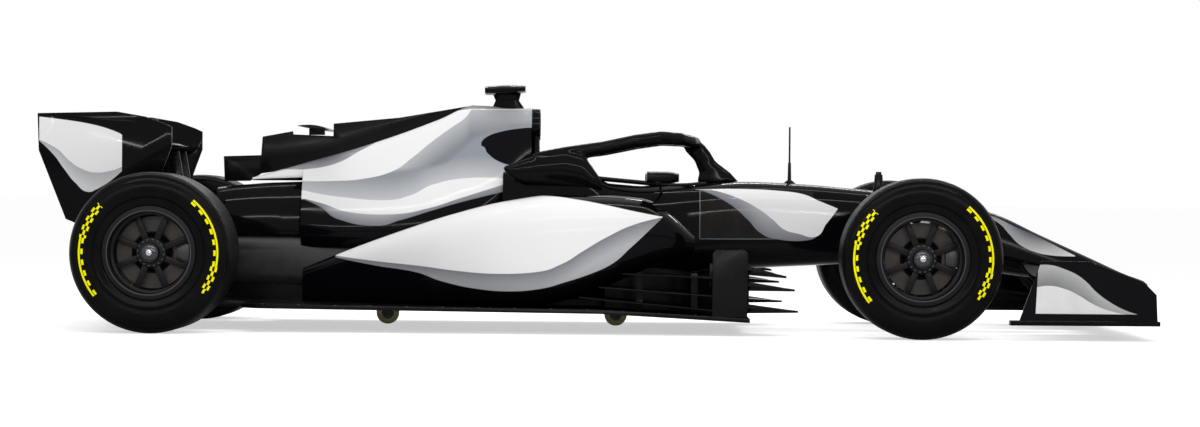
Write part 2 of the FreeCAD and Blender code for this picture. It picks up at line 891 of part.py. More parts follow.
def caster_well(x, extra):
    """The slot that a caster needs through the floor and the plank."""
    half_x = mm.caster_radius + extra
    half_y = mm.caster_width / 2 + mm.caster_cheek + extra
    return box((x - half_x, x + half_x), (-half_y, half_y), (0, 170))


FLOOR_PLAN = [
    (632, 240), (632, 760), (300, 740), (rear_x + 424, 760), (rear_x + 352, 700), (rear_x + 352, 560),
    (rear_x + 352, 0),
]


def make_floor():
    layer = under_layer(0, mm.floor_thickness, mm.floor_half_width + 40)
    slab = layer.common(flat_plate(mirror_outline(FLOOR_PLAN), 0, 400))
    for x in (mm.rear_caster_x, mm.front_caster_x):
        slab = slab.cut(caster_well(x, 8))
    return slab


def mirror_outline(half_outline):
    """Close a left half outline with its reflection."""
    return half_outline + [(x, -y) for x, y in reversed(half_outline) if y > 0]


feature("floor", make_floor())


def make_plank():
    half = mm.plank_half_width
    ends = [(900, 0), (900, half - 60), (840, half), (rear_x + 364, half), (rear_x + 364, 0)]
    layer = under_layer(mm.plank_thickness + mm.seat_gap, mm.plank_thickness, half)
    slab = layer.common(flat_plate(mirror_outline(ends), 0, 400))
    for x in (mm.rear_caster_x, mm.front_caster_x):
        slab = slab.cut(caster_well(x, 8))
    return slab


feature("plank", make_plank())


def make_diffuser():
    """The rising tail of the floor with its strakes."""
    front = FLOOR_LINE[-1][0] - mm.seat_gap
    low = FLOOR_LINE[-1][1]
    half = mm.half_width - mm.rear_tyre_width - 95
    kick, mid, tip = rear_x - 36, rear_x - 196, rear_x - 346
    side = [(front, low), (front, low + mm.floor_thickness), (kick, 142), (mid, 172), (tip, 246), (tip, 234),
            (mid, 160), (kick, 130)]
    roof = side_plate(side, 0, 2 * half)
    strakes = []
    for y in (-half + 4, -300, -110, 110, 300, half - 4):
        strakes.append(side_plate([(front, low), (front, low + 10), (kick, 134), (mid, 164), (tip, 238),
                                   (tip, 130), (kick, 92)], y, 8))
    return roof.fuse(strakes)


feature("diffuser", make_diffuser())


# Casters: fixed forks in the floor's wells, each with a free wheel on its pin


def floor_clear():
    """The floor's layer with a seat gap above it."""
    return under_layer(0, mm.floor_thickness + mm.seat_gap, mm.floor_half_width + 40)


def caster_axle_z():
    return mm.caster_lift + mm.caster_radius


def make_caster_forks():
    forks = []
    top = caster_axle_z() + mm.caster_radius + mm.running_gap
    half_gap = mm.caster_width / 2 + 1
    for x in (mm.rear_caster_x, mm.front_caster_x):
        deck = floor_low(x) + mm.floor_thickness + mm.seat_gap + 1
        half_x = mm.caster_radius + 22
        plate = box((x - half_x, x + half_x), (-56, 56), (deck, top + 6))
        well = box((x - half_x + 12, x + half_x - 12), (-44, 44), (deck - 1, top))
        cheeks = []
        for side in (RIGHT, LEFT):
            cheeks.append(box((x - 14, x + 14), (side * half_gap, side * (half_gap + mm.caster_cheek)),
                              (caster_axle_z() - 14, top + 1)))
        pin = Part.makeCylinder(mm.caster_pin_radius, 2 * half_gap + 2,
                                Vector(x, -half_gap - 1, caster_axle_z()),
                                Vector(0, 1, 0))
        forks.append(plate.cut(well).cut(floor_clear()).fuse(cheeks + [pin]))
    return Part.makeCompound(forks)


feature("caster_forks", make_caster_forks())


def make_caster_wheel(label, x):
    body = new_body(label)
    bore = cell.caster_pin_radius + cell.bearing_clearance
    half = cell.caster_width / 2
    rim = cell.caster_radius - 4
    profile = [(bore, -half), (rim, -half), (cell.caster_radius, -half + 6), (cell.caster_radius, half - 6),
               (rim, half), (bore, half)]
    revolve(body, "Turned", profile)
    place(body, x, x * 0, cell.caster_lift + cell.caster_radius)
    return finish(body, label)


make_caster_wheel("caster_wheel_front", cell.front_caster_x)
make_caster_wheel("caster_wheel_rear", cell.rear_caster_x)


# Engine, gearbox and rear crash structure


def engine_case(grow):
    front = mm.tub_rear_x - mm.seat_gap
    low = 130
    return box((front - mm.engine_length - grow, front + grow),
               (-mm.engine_width / 2 - grow, mm.engine_width / 2 + grow),
               (low - grow, low + mm.engine_height + grow))


feature("engine_block", engine_case(0))

gearbox_front = mm.tub_rear_x - 2 * mm.seat_gap - mm.engine_length


def gearbox_case(grow):
    """The gearbox's outer form, drawn out by a gap where another piece is cut to clear it."""
    stations = ((gearbox_front, 30, 140, 430), (gearbox_front - 300, 10, 150, 420), (rear_x - 60, 0, 190, 420),
                (rear_x - 200, -40, 250, 410))
    return loft([ring(x, mm.gearbox_half_width + wider + grow, low - grow, high + grow, 4.0)
                 for x, wider, low, high in stations])


def make_gearbox():
    half = mm.gearbox_half_width
    case = gearbox_case(0)
    bore = Part.makeCylinder(mm.axle_radius + mm.bearing_clearance, 2 * half + 200,
                             Vector(rear_x, -half - 100, mm.tyre_radius), Vector(0, 1, 0))
    return case.cut(bore)


feature("gearbox", make_gearbox())


def make_crash_structure():
    front = rear_x - 200 - mm.seat_gap
    end = min(tail_x + 130, front - 200)
    beam = loft([ring(x, half, low, high, 3.6) for x, half, low, high in (
        (front, 76, 262, 408), (front - 150, 56, 300, 400), (end, 40, 318, 392))])
    lamp = box((end - 18, end + 1), (-45, 45), (300, 410))
    pad = box((end + 20, end + 20 + mm.jack_pad), (-mm.jack_pad / 2, mm.jack_pad / 2), (mm.jack_height, 330))
    return beam.fuse([lamp, pad])


feature("rear_crash_structure", make_crash_structure())


# The tail pipes' places: y, z, radius
TAIL_PIPES = [(0, 490, 55), (-78, 500, 22), (78, 500, 22)]
exhaust_back = rear_x - 100
exhaust_front = rear_x + 300


# Engine cover: a shell from the intake back to a thin tail, open below and at its rear

COVER_STATIONS = [
    (-310, 190, 640, 972, 0.40),
    (-420, 290, 480, 975, 0.28),
    (-500, 330, 380, 981, 0.22),
    (-566, 345, 330, 983, 0.20),
    (-721, 345, 290, 921, 0.20),
    (-898, 315, 290, 853, 0.22),
    (-1119, 265, 300, 780, 0.26),
    (-1320, 215, 330, 722, 0.30),
]


def cover_ring(row, inset=0.0):
    x, half, low, high, crown = row
    return ring(x, half - inset, low + inset * 0.6, high - inset, power=2.4, crown=crown, count=20)


def cover_skin(grow):
    return loft([cover_ring(row, -grow) for row in COVER_STATIONS])


def cover_tail(grow):
    """The cover's pointed end, which lies on the gearbox cowl."""
    rows = ((-1300, 70, 728, 0.4), (-1420, 46, 692, 0.5), (-1549, 14, 656, 0.8))
    return loft([ring(x, half + grow, 643 - grow, high + grow, 2.4, crown) for x, half, high, crown in rows])


def make_engine_cover():
    outside = cover_skin(0)
    tail = cover_tail(0)
    rows = [(-300, 190, 640, 972, 0.40)] + COVER_STATIONS[1:-1] + [(-1330, 213, 330, 722, 0.30)]
    inside = loft([cover_ring(row, mm.cover_wall) for row in rows])
    shell = outside.cut(inside).cut(clear_tub).cut(engine_case(mm.seat_gap)).cut(gearbox_case(mm.seat_gap))
    shell = shell.cut(box((-1400, -300), (-400, 400), (0, mm.cover_hem)))
    return largest(shell.fuse(tail.cut(inside)))


feature("engine_cover", make_engine_cover())


# Gearbox cowl: a thin shell on two ribs, which carries the cover's line back over the tail pipes

# One row a station: share of its length, half width, high, crown
COWL_ROWS = [
    (0.0, 148, 641, 0.60),
    (0.42, 146, 634, 0.62),
    (0.79, 142, 622, 0.64),
    (1.0, 138, 612, 0.66),
]
cowl_front = COVER_STATIONS[-1][0] - mm.seat_gap
cowl_back = min(rear_x + mm.cowl_reach, cowl_front - 120)


def cowl_form(inset, overrun):
    """The cowl's outside, or its hollow when inset and run on past both ends."""
    rings = []
    for share, half, high, crown in COWL_ROWS:
        x = cowl_front + overrun + (cowl_back - cowl_front - 2 * overrun) * share
        rings.append(ring(x, half - inset, 300, high - inset, 4.0, crown))
    return loft(rings)


def make_gearbox_cowl():
    open_below = box((cowl_back - 10, cowl_front + 10), (-200, 200), (200, mm.cowl_hem))
    outside = cowl_form(0, 0).cut(open_below)
    ribs = []
    for x in (cowl_front - 11, min(exhaust_front - 40, cowl_front - 60)):
        ribs.append(outside.common(box((x, x - mm.cowl_wall), (-200, 200), (200, 700))))
    cowl = outside.cut(cowl_form(mm.cowl_wall, 20)).fuse(ribs)
    for y, z, radius in TAIL_PIPES:
        bore = Part.makeCylinder(radius + mm.seat_gap, 460, Vector(exhaust_back, y, z), Vector(1, 0, 0))
        cowl = cowl.cut(bore)
    return largest(cowl.cut(gearbox_case(mm.seat_gap)))


feature("gearbox_cowl", make_gearbox_cowl())


# Sidepods: tapering shells with an open inlet, undercut below

# One row a station: x, inner y, outer y, low, high
POD_STATIONS = [
    (400, 240, 585, 345, 430),
    (335, 250, 650, 318, 492),
    (258, 260, 690, 298, 548),
    (180, 270, 716, 268, 578),
    (0, 280, 742, 190, 590),
    (-180, 280, 738, 130, 590),
    (-400, 270, 690, 100, 562),
    (-640, 240, 585, 100, 502),
    (-860, 200, 460, 100, 430),
    (-1080, 160, 340, 100, 350),
    (-1300, 145, 250, 100, 262),
]

# The inlet's duct, from outside the pod to its closed end: x, inner y, outer y, low, high
DUCT_STATIONS = [
    (460, 330, 640, 500, 562),
    (200, 330, 650, 500, 562),
    (-40, 350, 660, 470, 560),
]


def side_ring(row, grow=0.0, power=2.9):
    x, inner, outer, low, high = row
    return ring(x, (outer - inner) / 2 + grow, low - grow, high + grow, power=power, centre=(inner + outer) / 2)


def pod_outside(grow):
    return loft([side_ring(row, grow) for row in POD_STATIONS])


def make_sidepod():
    outside = pod_outside(0)
    duct = loft([side_ring(row) for row in DUCT_STATIONS])
    pod = outside.cut(duct).cut(clear_tub).cut(floor_clear()).cut(cover_skin(mm.seat_gap))
    pod = pod.cut(engine_case(mm.seat_gap)).cut(gearbox_case(mm.seat_gap))
    return largest(pod)


pod = make_sidepod()
feature("sidepod_left", pod)
feature("sidepod_right", flip(pod))


# Exhaust

def make_exhaust():
    """The central tail pipe with two small wastegate pipes beside it, on a saddle."""
    length = exhaust_front - exhaust_back
    saddle = box((exhaust_back + 160, exhaust_back + 200), (-90, 90), (415, 500))
    pipes = []
    for y, z, radius in TAIL_PIPES:
        tube = Part.makeCylinder(radius, length, Vector(exhaust_back, y, z), Vector(1, 0, 0))
        hole = Part.makeCylinder(radius - mm.pipe_wall, length - 20, Vector(exhaust_back - 1, y, z),
                                 Vector(1, 0, 0))
        pipes.append(tube.cut(hole))
        saddle = saddle.cut(Part.makeCylinder(radius - mm.pipe_wall / 2, length, Vector(exhaust_back, y, z),
                                              Vector(1, 0, 0)))
    return pipes[0].fuse(pipes[1:] + [saddle.cut(gearbox_case(mm.seat_gap))])


feature("exhaust", make_exhaust())


# Intake ring on the roll hoop, with the hoop's two legs


def make_roll_hoop():
    x = -274
    lip = loft([ring(x - 36 + mm.seat_gap, 76, 828, 972, 2.6, 0.9), ring(x, 70, 831, 969, 2.6, 0.9)])
    mouth = loft([ring(x - 60, 58, 845, 955, 2.6, 0.9), ring(x + 10, 58, 845, 955, 2.6, 0.9)])
    legs = []
    for side in (RIGHT, LEFT):
        legs.append(rod(Vector(x - 18, side * 44, 842), Vector(x - 18, side * 120, 735), 14))
    hoop = lip.cut(mouth).fuse([leg.cut(mouth) for leg in legs])
    return hoop.cut(clear_tub)


feature("roll_hoop", make_roll_hoop())


def make_camera_pod():
    neck = loft([ring_level(x, 0, half_x, half_y, z) for x, half_x, half_y, z in (
        (-416, 80, 26, 960), (-422, 54, 17, 1005), (-425, 66, 24, 1040))])
    top = loft([ring(x, half, low, high, 2.4) for x, half, low, high in (
        (-518, 96, 1030, 1068), (-430, 112, 1028, 1075), (-340, 84, 1042, 1072))])
    return neck.fuse(top).cut(cover_skin(mm.seat_gap))


feature("camera_pod", make_camera_pod())


# Shark fin, with the small T shaped wing in its notch


def make_shark_fin():
    front = [(-600, 900), (-566, 984), (-898, 926), (-1191, 897), (-1192, 842), (-1369, 848), (-1372, 862),
             (-1506, 837), (-1518, 672), (-1340, 700), (-1119, 760), (-898, 835)]
    fin = side_plate(front, 0, 14)
    rear = side_plate([(-1505, 755), (-1678, 749), (-1673, 638), (-1560, 640), (-1512, 672)], 0, 10)
    wing_bar = wing((-1205, 868), (-1330, 882), 16, -4, (-210, 210))
    post = side_plate([(-1230, 846), (-1300, 846), (-1300, 876), (-1230, 872)], 0, 10)
    whole = fin.fuse([rear, wing_bar, post])
    return whole.cut(cover_skin(mm.seat_gap)).cut(cover_tail(mm.seat_gap))


feature("shark_fin", make_shark_fin())


# Mirrors on thin stalks, and the masts on the survival cell


def make_mirror():
    shell = loft([side_oval(195, 540, 96, 26), side_oval(290, 540, 92, 26), side_oval(332, 540, 70, 18)])
    stalk = rod(Vector(250, 478, 650), Vector(262, 240, 600), 6)
    return shell.fuse(stalk)


def side_oval(x, y, half_y, half_z):
    return ring(x, half_y, 666 - half_z, 666 + half_z, 3.4, centre=y, count=16)


mirror = make_mirror().cut(clear_tub)
feature("mirrors", both_sides(mirror))


def make_masts():
    """The aerial with its thick foot, and the air speed sensor's stubby post."""
    fairing = loft([ring_level(831, 0, 34, 12, 644), ring_level(831, 0, 11, 9, 662)])
    foot = rod(Vector(831, 0, 650), Vector(831, 0, 740), 9, 7, 8)
    whip = rod(Vector(831, 0, 730), Vector(831, 0, 898), 4.5, 4, 8)
    post = loft([ring_level(x, 0, half_x, half_y, z)
                 for x, half_x, half_y, z in ((1226, 30, 16, 596), (1226, 21, 12, 640), (1226, 18, 11, 690))])
    cap = loft([ring_level(1226, 0, 14, 9, 690), ring_level(1226, 0, 12, 8, 703)])
    aerial = fairing.fuse([foot, whip]).cut(clear_tub)
    sensor = post.fuse(cap).cut(nose_solid(mm.seat_gap))
    return Part.makeCompound([aerial, sensor])


feature("masts", make_masts())


# Bargeboards: the tall plate, the slats behind it and the vanes ahead of it


def make_bargeboard():
    y = mm.board_offset
    foot_z = floor_low(621) + mm.floor_thickness + mm.seat_gap
    outline = [(474, foot_z + 8), (474, 348), (488, 363), (607, 364), (621, 350), (621, foot_z + 4)]
    plate = side_plate(outline, y, mm.board_thickness)
    slats = []
    for (x1, z1), (x2, z2) in (((97, 261), (480, 247)), ((-6, 204), (480, 170)), ((-88, 161), (480, 110))):
        line = [(x1, z1), (x2, z2), (x2, z2 - mm.slat_thickness), (x1, z1 - mm.slat_thickness)]
        slats.append(side_plate(line, 560, 2 * (y - 560)))
    posts = []
    for x in (167, 400):
        low = floor_low(x) + mm.floor_thickness + mm.seat_gap
        posts.append(side_plate([(x - 14, low), (x - 14, 262), (x + 14, 262), (x + 14, low)], 640, 5))
    vanes = []
    for (root_high, tip_x, tip_z) in ((283, 790, 245), (215, 824, 190), (120, 838, 100)):
        outline = [(560, 400), (560, y), (640, y), (tip_x, y - 60), (tip_x - 10, y - 80), (640, 400)]
        blade = flat_plate(outline, 0, 8)
        slope = math.degrees(math.atan2(tip_z - root_high, tip_x - 600))
        blade.rotate(Vector(600, 0, 0), Vector(0, 1, 0), -slope)
        blade.translate(Vector(0, 0, root_high))
        vanes.append(blade)
        wedge = [(600, root_high + 18), (tip_x - 60, (root_high + tip_z) / 2 + 4), (tip_x, tip_z),
                 (600, root_high - 24)]
        vanes.append(side_plate(wedge, y - 60, 50))
    side_wall = side_plate([(470, foot_z + 20), (470, 300), (640, 300), (640, foot_z + 20)], 420, 6)
    whole = plate.fuse(slats + posts + vanes + [side_wall])
    return largest(whole.cut(floor_clear()).cut(pod_outside(mm.seat_gap)).cut(clear_tub))


feature("bargeboards", both_sides(make_bargeboard()))


# Rear wing: end plates, main plane, opening flap and two swan necks

FLAP_PIN = (tail_x + 85, 906)
rear_wing_half_span = mm.half_width - mm.rear_tyre_width - mm.rear_wing_tyre_gap


def make_rear_wing_endplates():
    outline = [(0, 921), (341, 930), (461, 910), (541, 882), (576, 866), (576, 784), (531, 660), (455, 452),
               (167, 451), (124, 468), (6, 762)]
    outline = [(tail_x + ahead, z) for ahead, z in outline]
    plate = side_plate(outline, rear_wing_half_span, mm.wing_plate_thickness)
    hole = Part.makeCylinder(mm.flap_pin_radius + mm.bearing_clearance, 60,
                             Vector(FLAP_PIN[0], rear_wing_half_span - 30, FLAP_PIN[1]), Vector(0, 1, 0))
    return both_sides(plate.cut(hole))


feature("rear_wing_endplates", make_rear_wing_endplates())


def make_rear_wing_main():
    half = rear_wing_half_span - mm.wing_plate_thickness / 2 - mm.seat_gap
    return wing((tail_x + 565, 792), (tail_x + 293, 838), 34, 22, (-half, half))


feature("rear_wing_main", make_rear_wing_main())


def make_rear_wing_flap():
    """The upper flap, which turns up at its front about pins in the end plates."""
    half = rear_wing_half_span - mm.wing_plate_thickness / 2 - 1
    flap = wing((tail_x + 311, 858), (tail_x + 70, 912), 20, 12, (-half, half))
    pin = Part.makeCylinder(mm.flap_pin_radius, 2 * (half + 9), Vector(FLAP_PIN[0], -half - 9, FLAP_PIN[1]),
                            Vector(0, 1, 0))
    return flap.fuse(pin)


feature("rear_wing_flap", make_rear_wing_flap())


def make_swan_necks():
    necks = []
    for side in (RIGHT, LEFT):
        bend = [(rear_x + 29, 560), (rear_x - 21, 600)]
        seat = [(tail_x + 500, 700), (tail_x + 573, 660)]
        post = [(rear_x - 26, 380), (rear_x + 14, 380)] + bend
        head = [(tail_x + 553, 770), (tail_x + 510, 772), (tail_x + 455, 770)] + seat
        blades = [side_plate(outline, side * 112, 10) for outline in (post, bend + seat, head)]
        neck = blades[0].fuse(blades[1:]).removeSplitter()
        necks.append(neck.cut(make_rear_wing_main()).cut(gearbox_case(mm.seat_gap)))
    return Part.makeCompound(necks)


feature("rear_wing_pylons", make_swan_necks())


# Suspension arms, kept clear of the cell, the nose and the gearbox that carry them


def make_front_suspension():
    upper = make_wishbone("front", 1, 132, 560, 150, 170)
    lower = make_wishbone("front", -1, 148, 320, 150, 230)
    push = rod(Vector(front_x - 4, kingpin_y("front") - 60, 226), Vector(front_x - 4, 130, 590), mm.rod_radius)
    left = upper.fuse(lower)
    left = left.fuse(push).cut(clear_tub).cut(nose_solid(mm.seat_gap))
    return both_sides(left)


feature("front_suspension", make_front_suspension())


def make_rear_suspension():
    upper = make_wishbone("rear", 1, 100, 400, 60, 150)
    lower = make_wishbone("rear", -1, 90, 250, 240, 130)
    left = upper.fuse(lower)
    return both_sides(left.cut(gearbox_case(mm.seat_gap)))


feature("rear_suspension", make_rear_suspension())


# Check every object, then write each sub-part under its label

doc.recompute()
for item in doc.Objects:
    if any(word in item.State for word in ("Invalid", "Error")):
        raise ValueError(f"{item.Name} did not rebuild: {item.State}")
for item in parts:
    if item.Shape.isNull() or not item.Shape.isValid():
        raise ValueError(f"{item.Label} has no valid shape")
os.makedirs("parts", exist_ok=True)
for item in parts:
    item.Shape.exportStep(f"parts/{item.Label}.step")
    bounds = item.Shape.BoundBox
    print(f"{item.Label:24s} solids {len(item.Shape.Solids):2d} volume {item.Shape.Volume / 1e6:9.3f} l  "
          f"x {bounds.XMin:8.1f} {bounds.XMax:8.1f}  y {bounds.YMin:7.1f} {bounds.YMax:7.1f}  "
          f"z {bounds.ZMin:7.1f} {bounds.ZMax:7.1f}")
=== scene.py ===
import json
import math

import bpy
from mathutils import Matrix, Vector


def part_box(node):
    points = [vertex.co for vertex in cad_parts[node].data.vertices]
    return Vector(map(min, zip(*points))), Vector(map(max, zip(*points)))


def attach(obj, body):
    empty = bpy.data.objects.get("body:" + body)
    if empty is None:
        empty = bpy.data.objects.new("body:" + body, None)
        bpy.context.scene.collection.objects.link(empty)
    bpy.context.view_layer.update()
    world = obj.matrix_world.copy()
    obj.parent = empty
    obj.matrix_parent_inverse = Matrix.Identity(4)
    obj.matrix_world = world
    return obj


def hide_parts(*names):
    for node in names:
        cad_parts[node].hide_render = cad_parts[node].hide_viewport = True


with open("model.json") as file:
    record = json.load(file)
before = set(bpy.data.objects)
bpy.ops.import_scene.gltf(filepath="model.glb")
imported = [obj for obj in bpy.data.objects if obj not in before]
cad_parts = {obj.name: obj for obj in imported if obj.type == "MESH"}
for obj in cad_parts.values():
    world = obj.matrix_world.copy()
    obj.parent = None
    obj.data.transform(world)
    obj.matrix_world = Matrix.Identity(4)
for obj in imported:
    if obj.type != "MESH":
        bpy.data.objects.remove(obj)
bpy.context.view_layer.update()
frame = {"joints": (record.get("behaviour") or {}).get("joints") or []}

# Studio: a wide pale floor under a white sky, four long soft lamps, and the long lens of the
# photograph, which stands level with the car's flank about 14 m away.

bpy.ops.object.select_all(action="DESELECT")
bpy.ops.mesh.primitive_plane_add(size=400, location=(0, 100, 0))
studio_floor = bpy.context.object
studio_floor.name = "studio_floor"
floor_paint = bpy.data.materials.new("studio_floor_paint")
floor_paint.use_nodes = True
floor_tree = floor_paint.node_tree
floor_shader = floor_tree.nodes["Principled BSDF"]
floor_shader.inputs["Base Color"].default_value = (0.80, 0.80, 0.80, 1)
floor_shader.inputs["Roughness"].default_value = 0.9
floor_shader.inputs["Specular IOR Level"].default_value = 0.1
floor_shader.inputs["Emission Color"].default_value = (1, 1, 1, 1)
seen = floor_tree.nodes.new("ShaderNodeLightPath")
lift = floor_tree.nodes.new("ShaderNodeMath")
lift.operation = "MULTIPLY"
lift.inputs[1].default_value = 0.55
floor_tree.links.new(seen.outputs["Is Camera Ray"], lift.inputs[0])
floor_tree.links.new(lift.outputs[0], floor_shader.inputs["Emission Strength"])
studio_floor.data.materials.append(floor_paint)

sky = bpy.data.worlds.new("studio_sky")
bpy.context.scene.world = sky
sky.use_nodes = True
sky_tree = sky.node_tree
dome = sky_tree.nodes["Background"]
dome.inputs["Color"].default_value = (1, 1, 1, 1)
ray = sky_tree.nodes.new("ShaderNodeLightPath")
clear_view = ray.outputs["Is Camera Ray"]
for kind in ("Is Glossy Ray", "Is Transmission Ray"):
    either = sky_tree.nodes.new("ShaderNodeMath")
    either.operation = "MAXIMUM"
    sky_tree.links.new(clear_view, either.inputs[0])
    sky_tree.links.new(ray.outputs[kind], either.inputs[1])
    clear_view = either.outputs[0]
level = sky_tree.nodes.new("ShaderNodeMapRange")
level.inputs["To Min"].default_value = 0.50
level.inputs["To Max"].default_value = 1.0
sky_tree.links.new(clear_view, level.inputs["Value"])
sky_tree.links.new(level.outputs[0], dome.inputs["Strength"])

for lamp_name, lamp_place, lamp_aim, lamp_size, lamp_power in (
        ("near_low_strip", (0.0, -7.0, 2.1), (0, 0, 0.4), (9.0, 0.08), 100),
        ("near_high_strip", (0.0, -4.6, 4.4), (0, 0, 0.5), (8.0, 0.11), 130),
        ("over_strip", (0.0, 0.3, 5.2), (0, 0, 0.5), (8.0, 0.11), 110),
        ("far_strip", (0.0, 5.0, 3.8), (0, 0, 0.5), (8.0, 0.11), 120)):
    lamp = bpy.data.lights.new(lamp_name, "AREA")
    lamp.shape = "RECTANGLE"
    lamp.size, lamp.size_y = lamp_size
    lamp.energy = lamp_power
    holder = bpy.data.objects.new(lamp_name, lamp)
    holder.location = lamp_place
    holder.rotation_euler = (Vector(lamp_aim) - Vector(lamp_place)).to_track_quat("-Z", "Y").to_euler()
    bpy.context.collection.objects.link(holder)

photo_width = 1200
focal_pixels = 3211.75
lens_place = (0.1013, -14.2409, 0.5794)
turn, dip, lean = 0.0076, -0.0050, 0.0083
long_lens = bpy.data.cameras.new("long_lens")
long_lens.sensor_width = 36
long_lens.lens = focal_pixels * 36 / photo_width
long_lens.clip_end = 400
camera = bpy.data.objects.new("long_lens", long_lens)
bpy.context.collection.objects.link(camera)
ahead = Vector((-math.sin(turn) * math.cos(dip), math.cos(turn) * math.cos(dip), math.sin(dip)))
level_right = Vector((math.cos(turn), math.sin(turn), 0))
upright = level_right.cross(ahead)
lens_right = level_right * math.cos(lean) + upright * math.sin(lean)
lens_up = upright * math.cos(lean) - level_right * math.sin(lean)
facing = Matrix((lens_right, lens_up, -ahead)).transposed().to_4x4()
camera.matrix_world = Matrix.Translation(lens_place) @ facing
bpy.context.scene.camera = camera
bpy.context.scene.view_settings.view_transform = "Standard"


# Survival cell: a carbon tub under glossy black lacquer, with a white and grey flame on each
# flank ahead of the cockpit. It is laid up in two halves, and the cockpit's mouth has a rolled rim.

class Reading:
    """A number that varies over a surface, worked out by the nodes of one finish."""

    def __init__(self, finish, socket):
        self.finish = finish
        self.socket = socket

    def to(self, operation, *others):
        return self.finish.add("Math", self, *others, operation=operation)

    def __add__(self, other):
        return self.to("ADD", other)

    def __sub__(self, other):
        return self.to("SUBTRACT", other)

    def __rsub__(self, other):
        return self.finish.add("Math", other, self, operation="SUBTRACT")

    def __mul__(self, other):
        return self.to("MULTIPLY", other)

    def __truediv__(self, other):
        return self.to("DIVIDE", other)

    def __gt__(self, other):
        return self.to("GREATER_THAN", other)

    def __lt__(self, other):
        return self.to("LESS_THAN", other)

    def above(self, line, soft=0.002):
        """1 above a line and 0 below it, with a soft edge in metres."""
        share = (self - line) / soft
        share.socket.node.use_clamp = True
        return share

    def below(self, line, soft=0.002):
        return 1.0 - self.above(line, soft)

    def within(self, low, high):
        """1 between two limits and 0 beyond them."""
        return (self > low) * (self < high)

    def ranged(self, low, high, first=0.3, last=0.7):
        """Stretch what lies between two levels to a new range."""
        return self.finish.add("MapRange", self, first, last, low, high)


class Finish:
    """A surface finish, its patterns worked out by nodes from the place on the piece in metres."""

    def __init__(self, name, colour, roughness, metallic=0.0, specular=0.5, centre=(0, 0, 0)):
        self.material = bpy.data.materials.new(name)
        self.material.use_nodes = True
        self.nodes = self.material.node_tree.nodes
        self["Base Color"] = colour
        self["Roughness"] = roughness
        self["Metallic"] = metallic
        self["Specular IOR Level"] = specular
        place = self.add("TexCoord", out=3)
        self.spot = self.add("Mapping", place, tuple(-part for part in centre))
        self.x, self.y, self.z = self.parts(self.spot)

    def __setitem__(self, channel, source):
        self.feed(self.nodes["Principled BSDF"].inputs[channel], source)

    def feed(self, socket, source):
        """Give a socket a value, a colour or the reading of another node."""
        if isinstance(source, Reading):
            self.material.node_tree.links.new(source.socket, socket)
        elif source is not None:
            socket.default_value = (*source, 1) if socket.type == "RGBA" else source

    def add(self, kind, *sources, out=0, **settings):
        """Add a node, feed its sockets in order and read one of its outputs."""
        made = self.nodes.new(f"ShaderNode{kind}")
        for setting, value in settings.items():
            setattr(made, setting, value)
        for socket, source in zip(made.inputs, sources):
            self.feed(socket, source)
        return Reading(self, made.outputs[out])

    def parts(self, vector):
        """The X, Y and Z of a vector."""
        split = self.nodes.new("ShaderNodeSeparateXYZ")
        self.feed(split.inputs[0], vector)
        return [Reading(self, socket) for socket in split.outputs]

    def noise(self, scale, detail=4.0, rough=0.6):
        return self.add("TexNoise", self.spot, None, scale, detail, rough)

    def mix(self, share, under, over):
        """Lay one colour over another by a share from 0 to 1."""
        not_colours = [None] * 5
        return self.add("Mix", share, *not_colours, under, over, out=2, data_type="RGBA")

    def layers(self, ground, *coats):
        """Lay coats over a ground colour in order, each by its own share."""
        for share, colour in coats:
            ground = self.mix(share, ground, colour)
        return ground

    def edge(self, *points):
        """The height of a masked paint edge along the car, on a smooth line through points in mm."""
        first, last = points[0][0], points[-1][0]
        heights = [height for x, height in points]
        low, high = min(heights), max(heights)
        bend = self.nodes.new("ShaderNodeFloatCurve")
        self.feed(bend.inputs["Value"], (self.x - first / 1000) / ((last - first) / 1000))
        bend.mapping.extend = "HORIZONTAL"
        line = bend.mapping.curves[0]
        while len(line.points) < len(points):
            line.points.new(0.5, 0.5)
        for knot, (x, height) in zip(line.points, points):
            knot.location = ((x - first) / (last - first), (height - low) / max(high - low, 1))
        bend.mapping.update()
        return Reading(self, bend.outputs[0]).to("MULTIPLY_ADD", (high - low) / 1000, low / 1000)

    def outside(self, spine, middle):
        """1 on the outside of a shell round a spine at a height, and 0 on its inner walls."""
        normal = self.parts(self.add("NewGeometry", out=1))
        across = self.y.to("SIGN") * (self.y.to("ABSOLUTE") - spine)
        return across * normal[1] + (self.z - middle) * normal[2] > 0.0

    def rough_up(self, height, strength, distance):
        """Raise a fine relief by a height that varies over the surface."""
        bump = self.nodes.new("ShaderNodeBump")
        for channel, source in (("Strength", strength), ("Distance", distance), ("Height", height)):
            self.feed(bump.inputs[channel], source)
        self["Normal"] = Reading(self, bump.outputs[0])

    def lacquer(self, coat):
        """Set the painted pattern under the faint haze and orange peel of real lacquer."""
        self["Base Color"] = coat
        self["Roughness"] = self.noise(5.0).ranged(0.04, 0.13)
        self.rough_up(self.noise(260.0, 2.0, 0.5), 0.008, 0.0006)


gloss_black = (0.002, 0.002, 0.003)
flame_grey = (0.19, 0.20, 0.22)
pale_grey = (0.42, 0.43, 0.45)
flame_white = (0.80, 0.80, 0.80)
# Pale grey for the tub panel's rear seam line, and for the painted highlight along its hem.
seam_and_highlight_grey = (0.16, 0.17, 0.18)


def black_coat(name):
    return Finish(name, gloss_black, 0.06, specular=0.07)


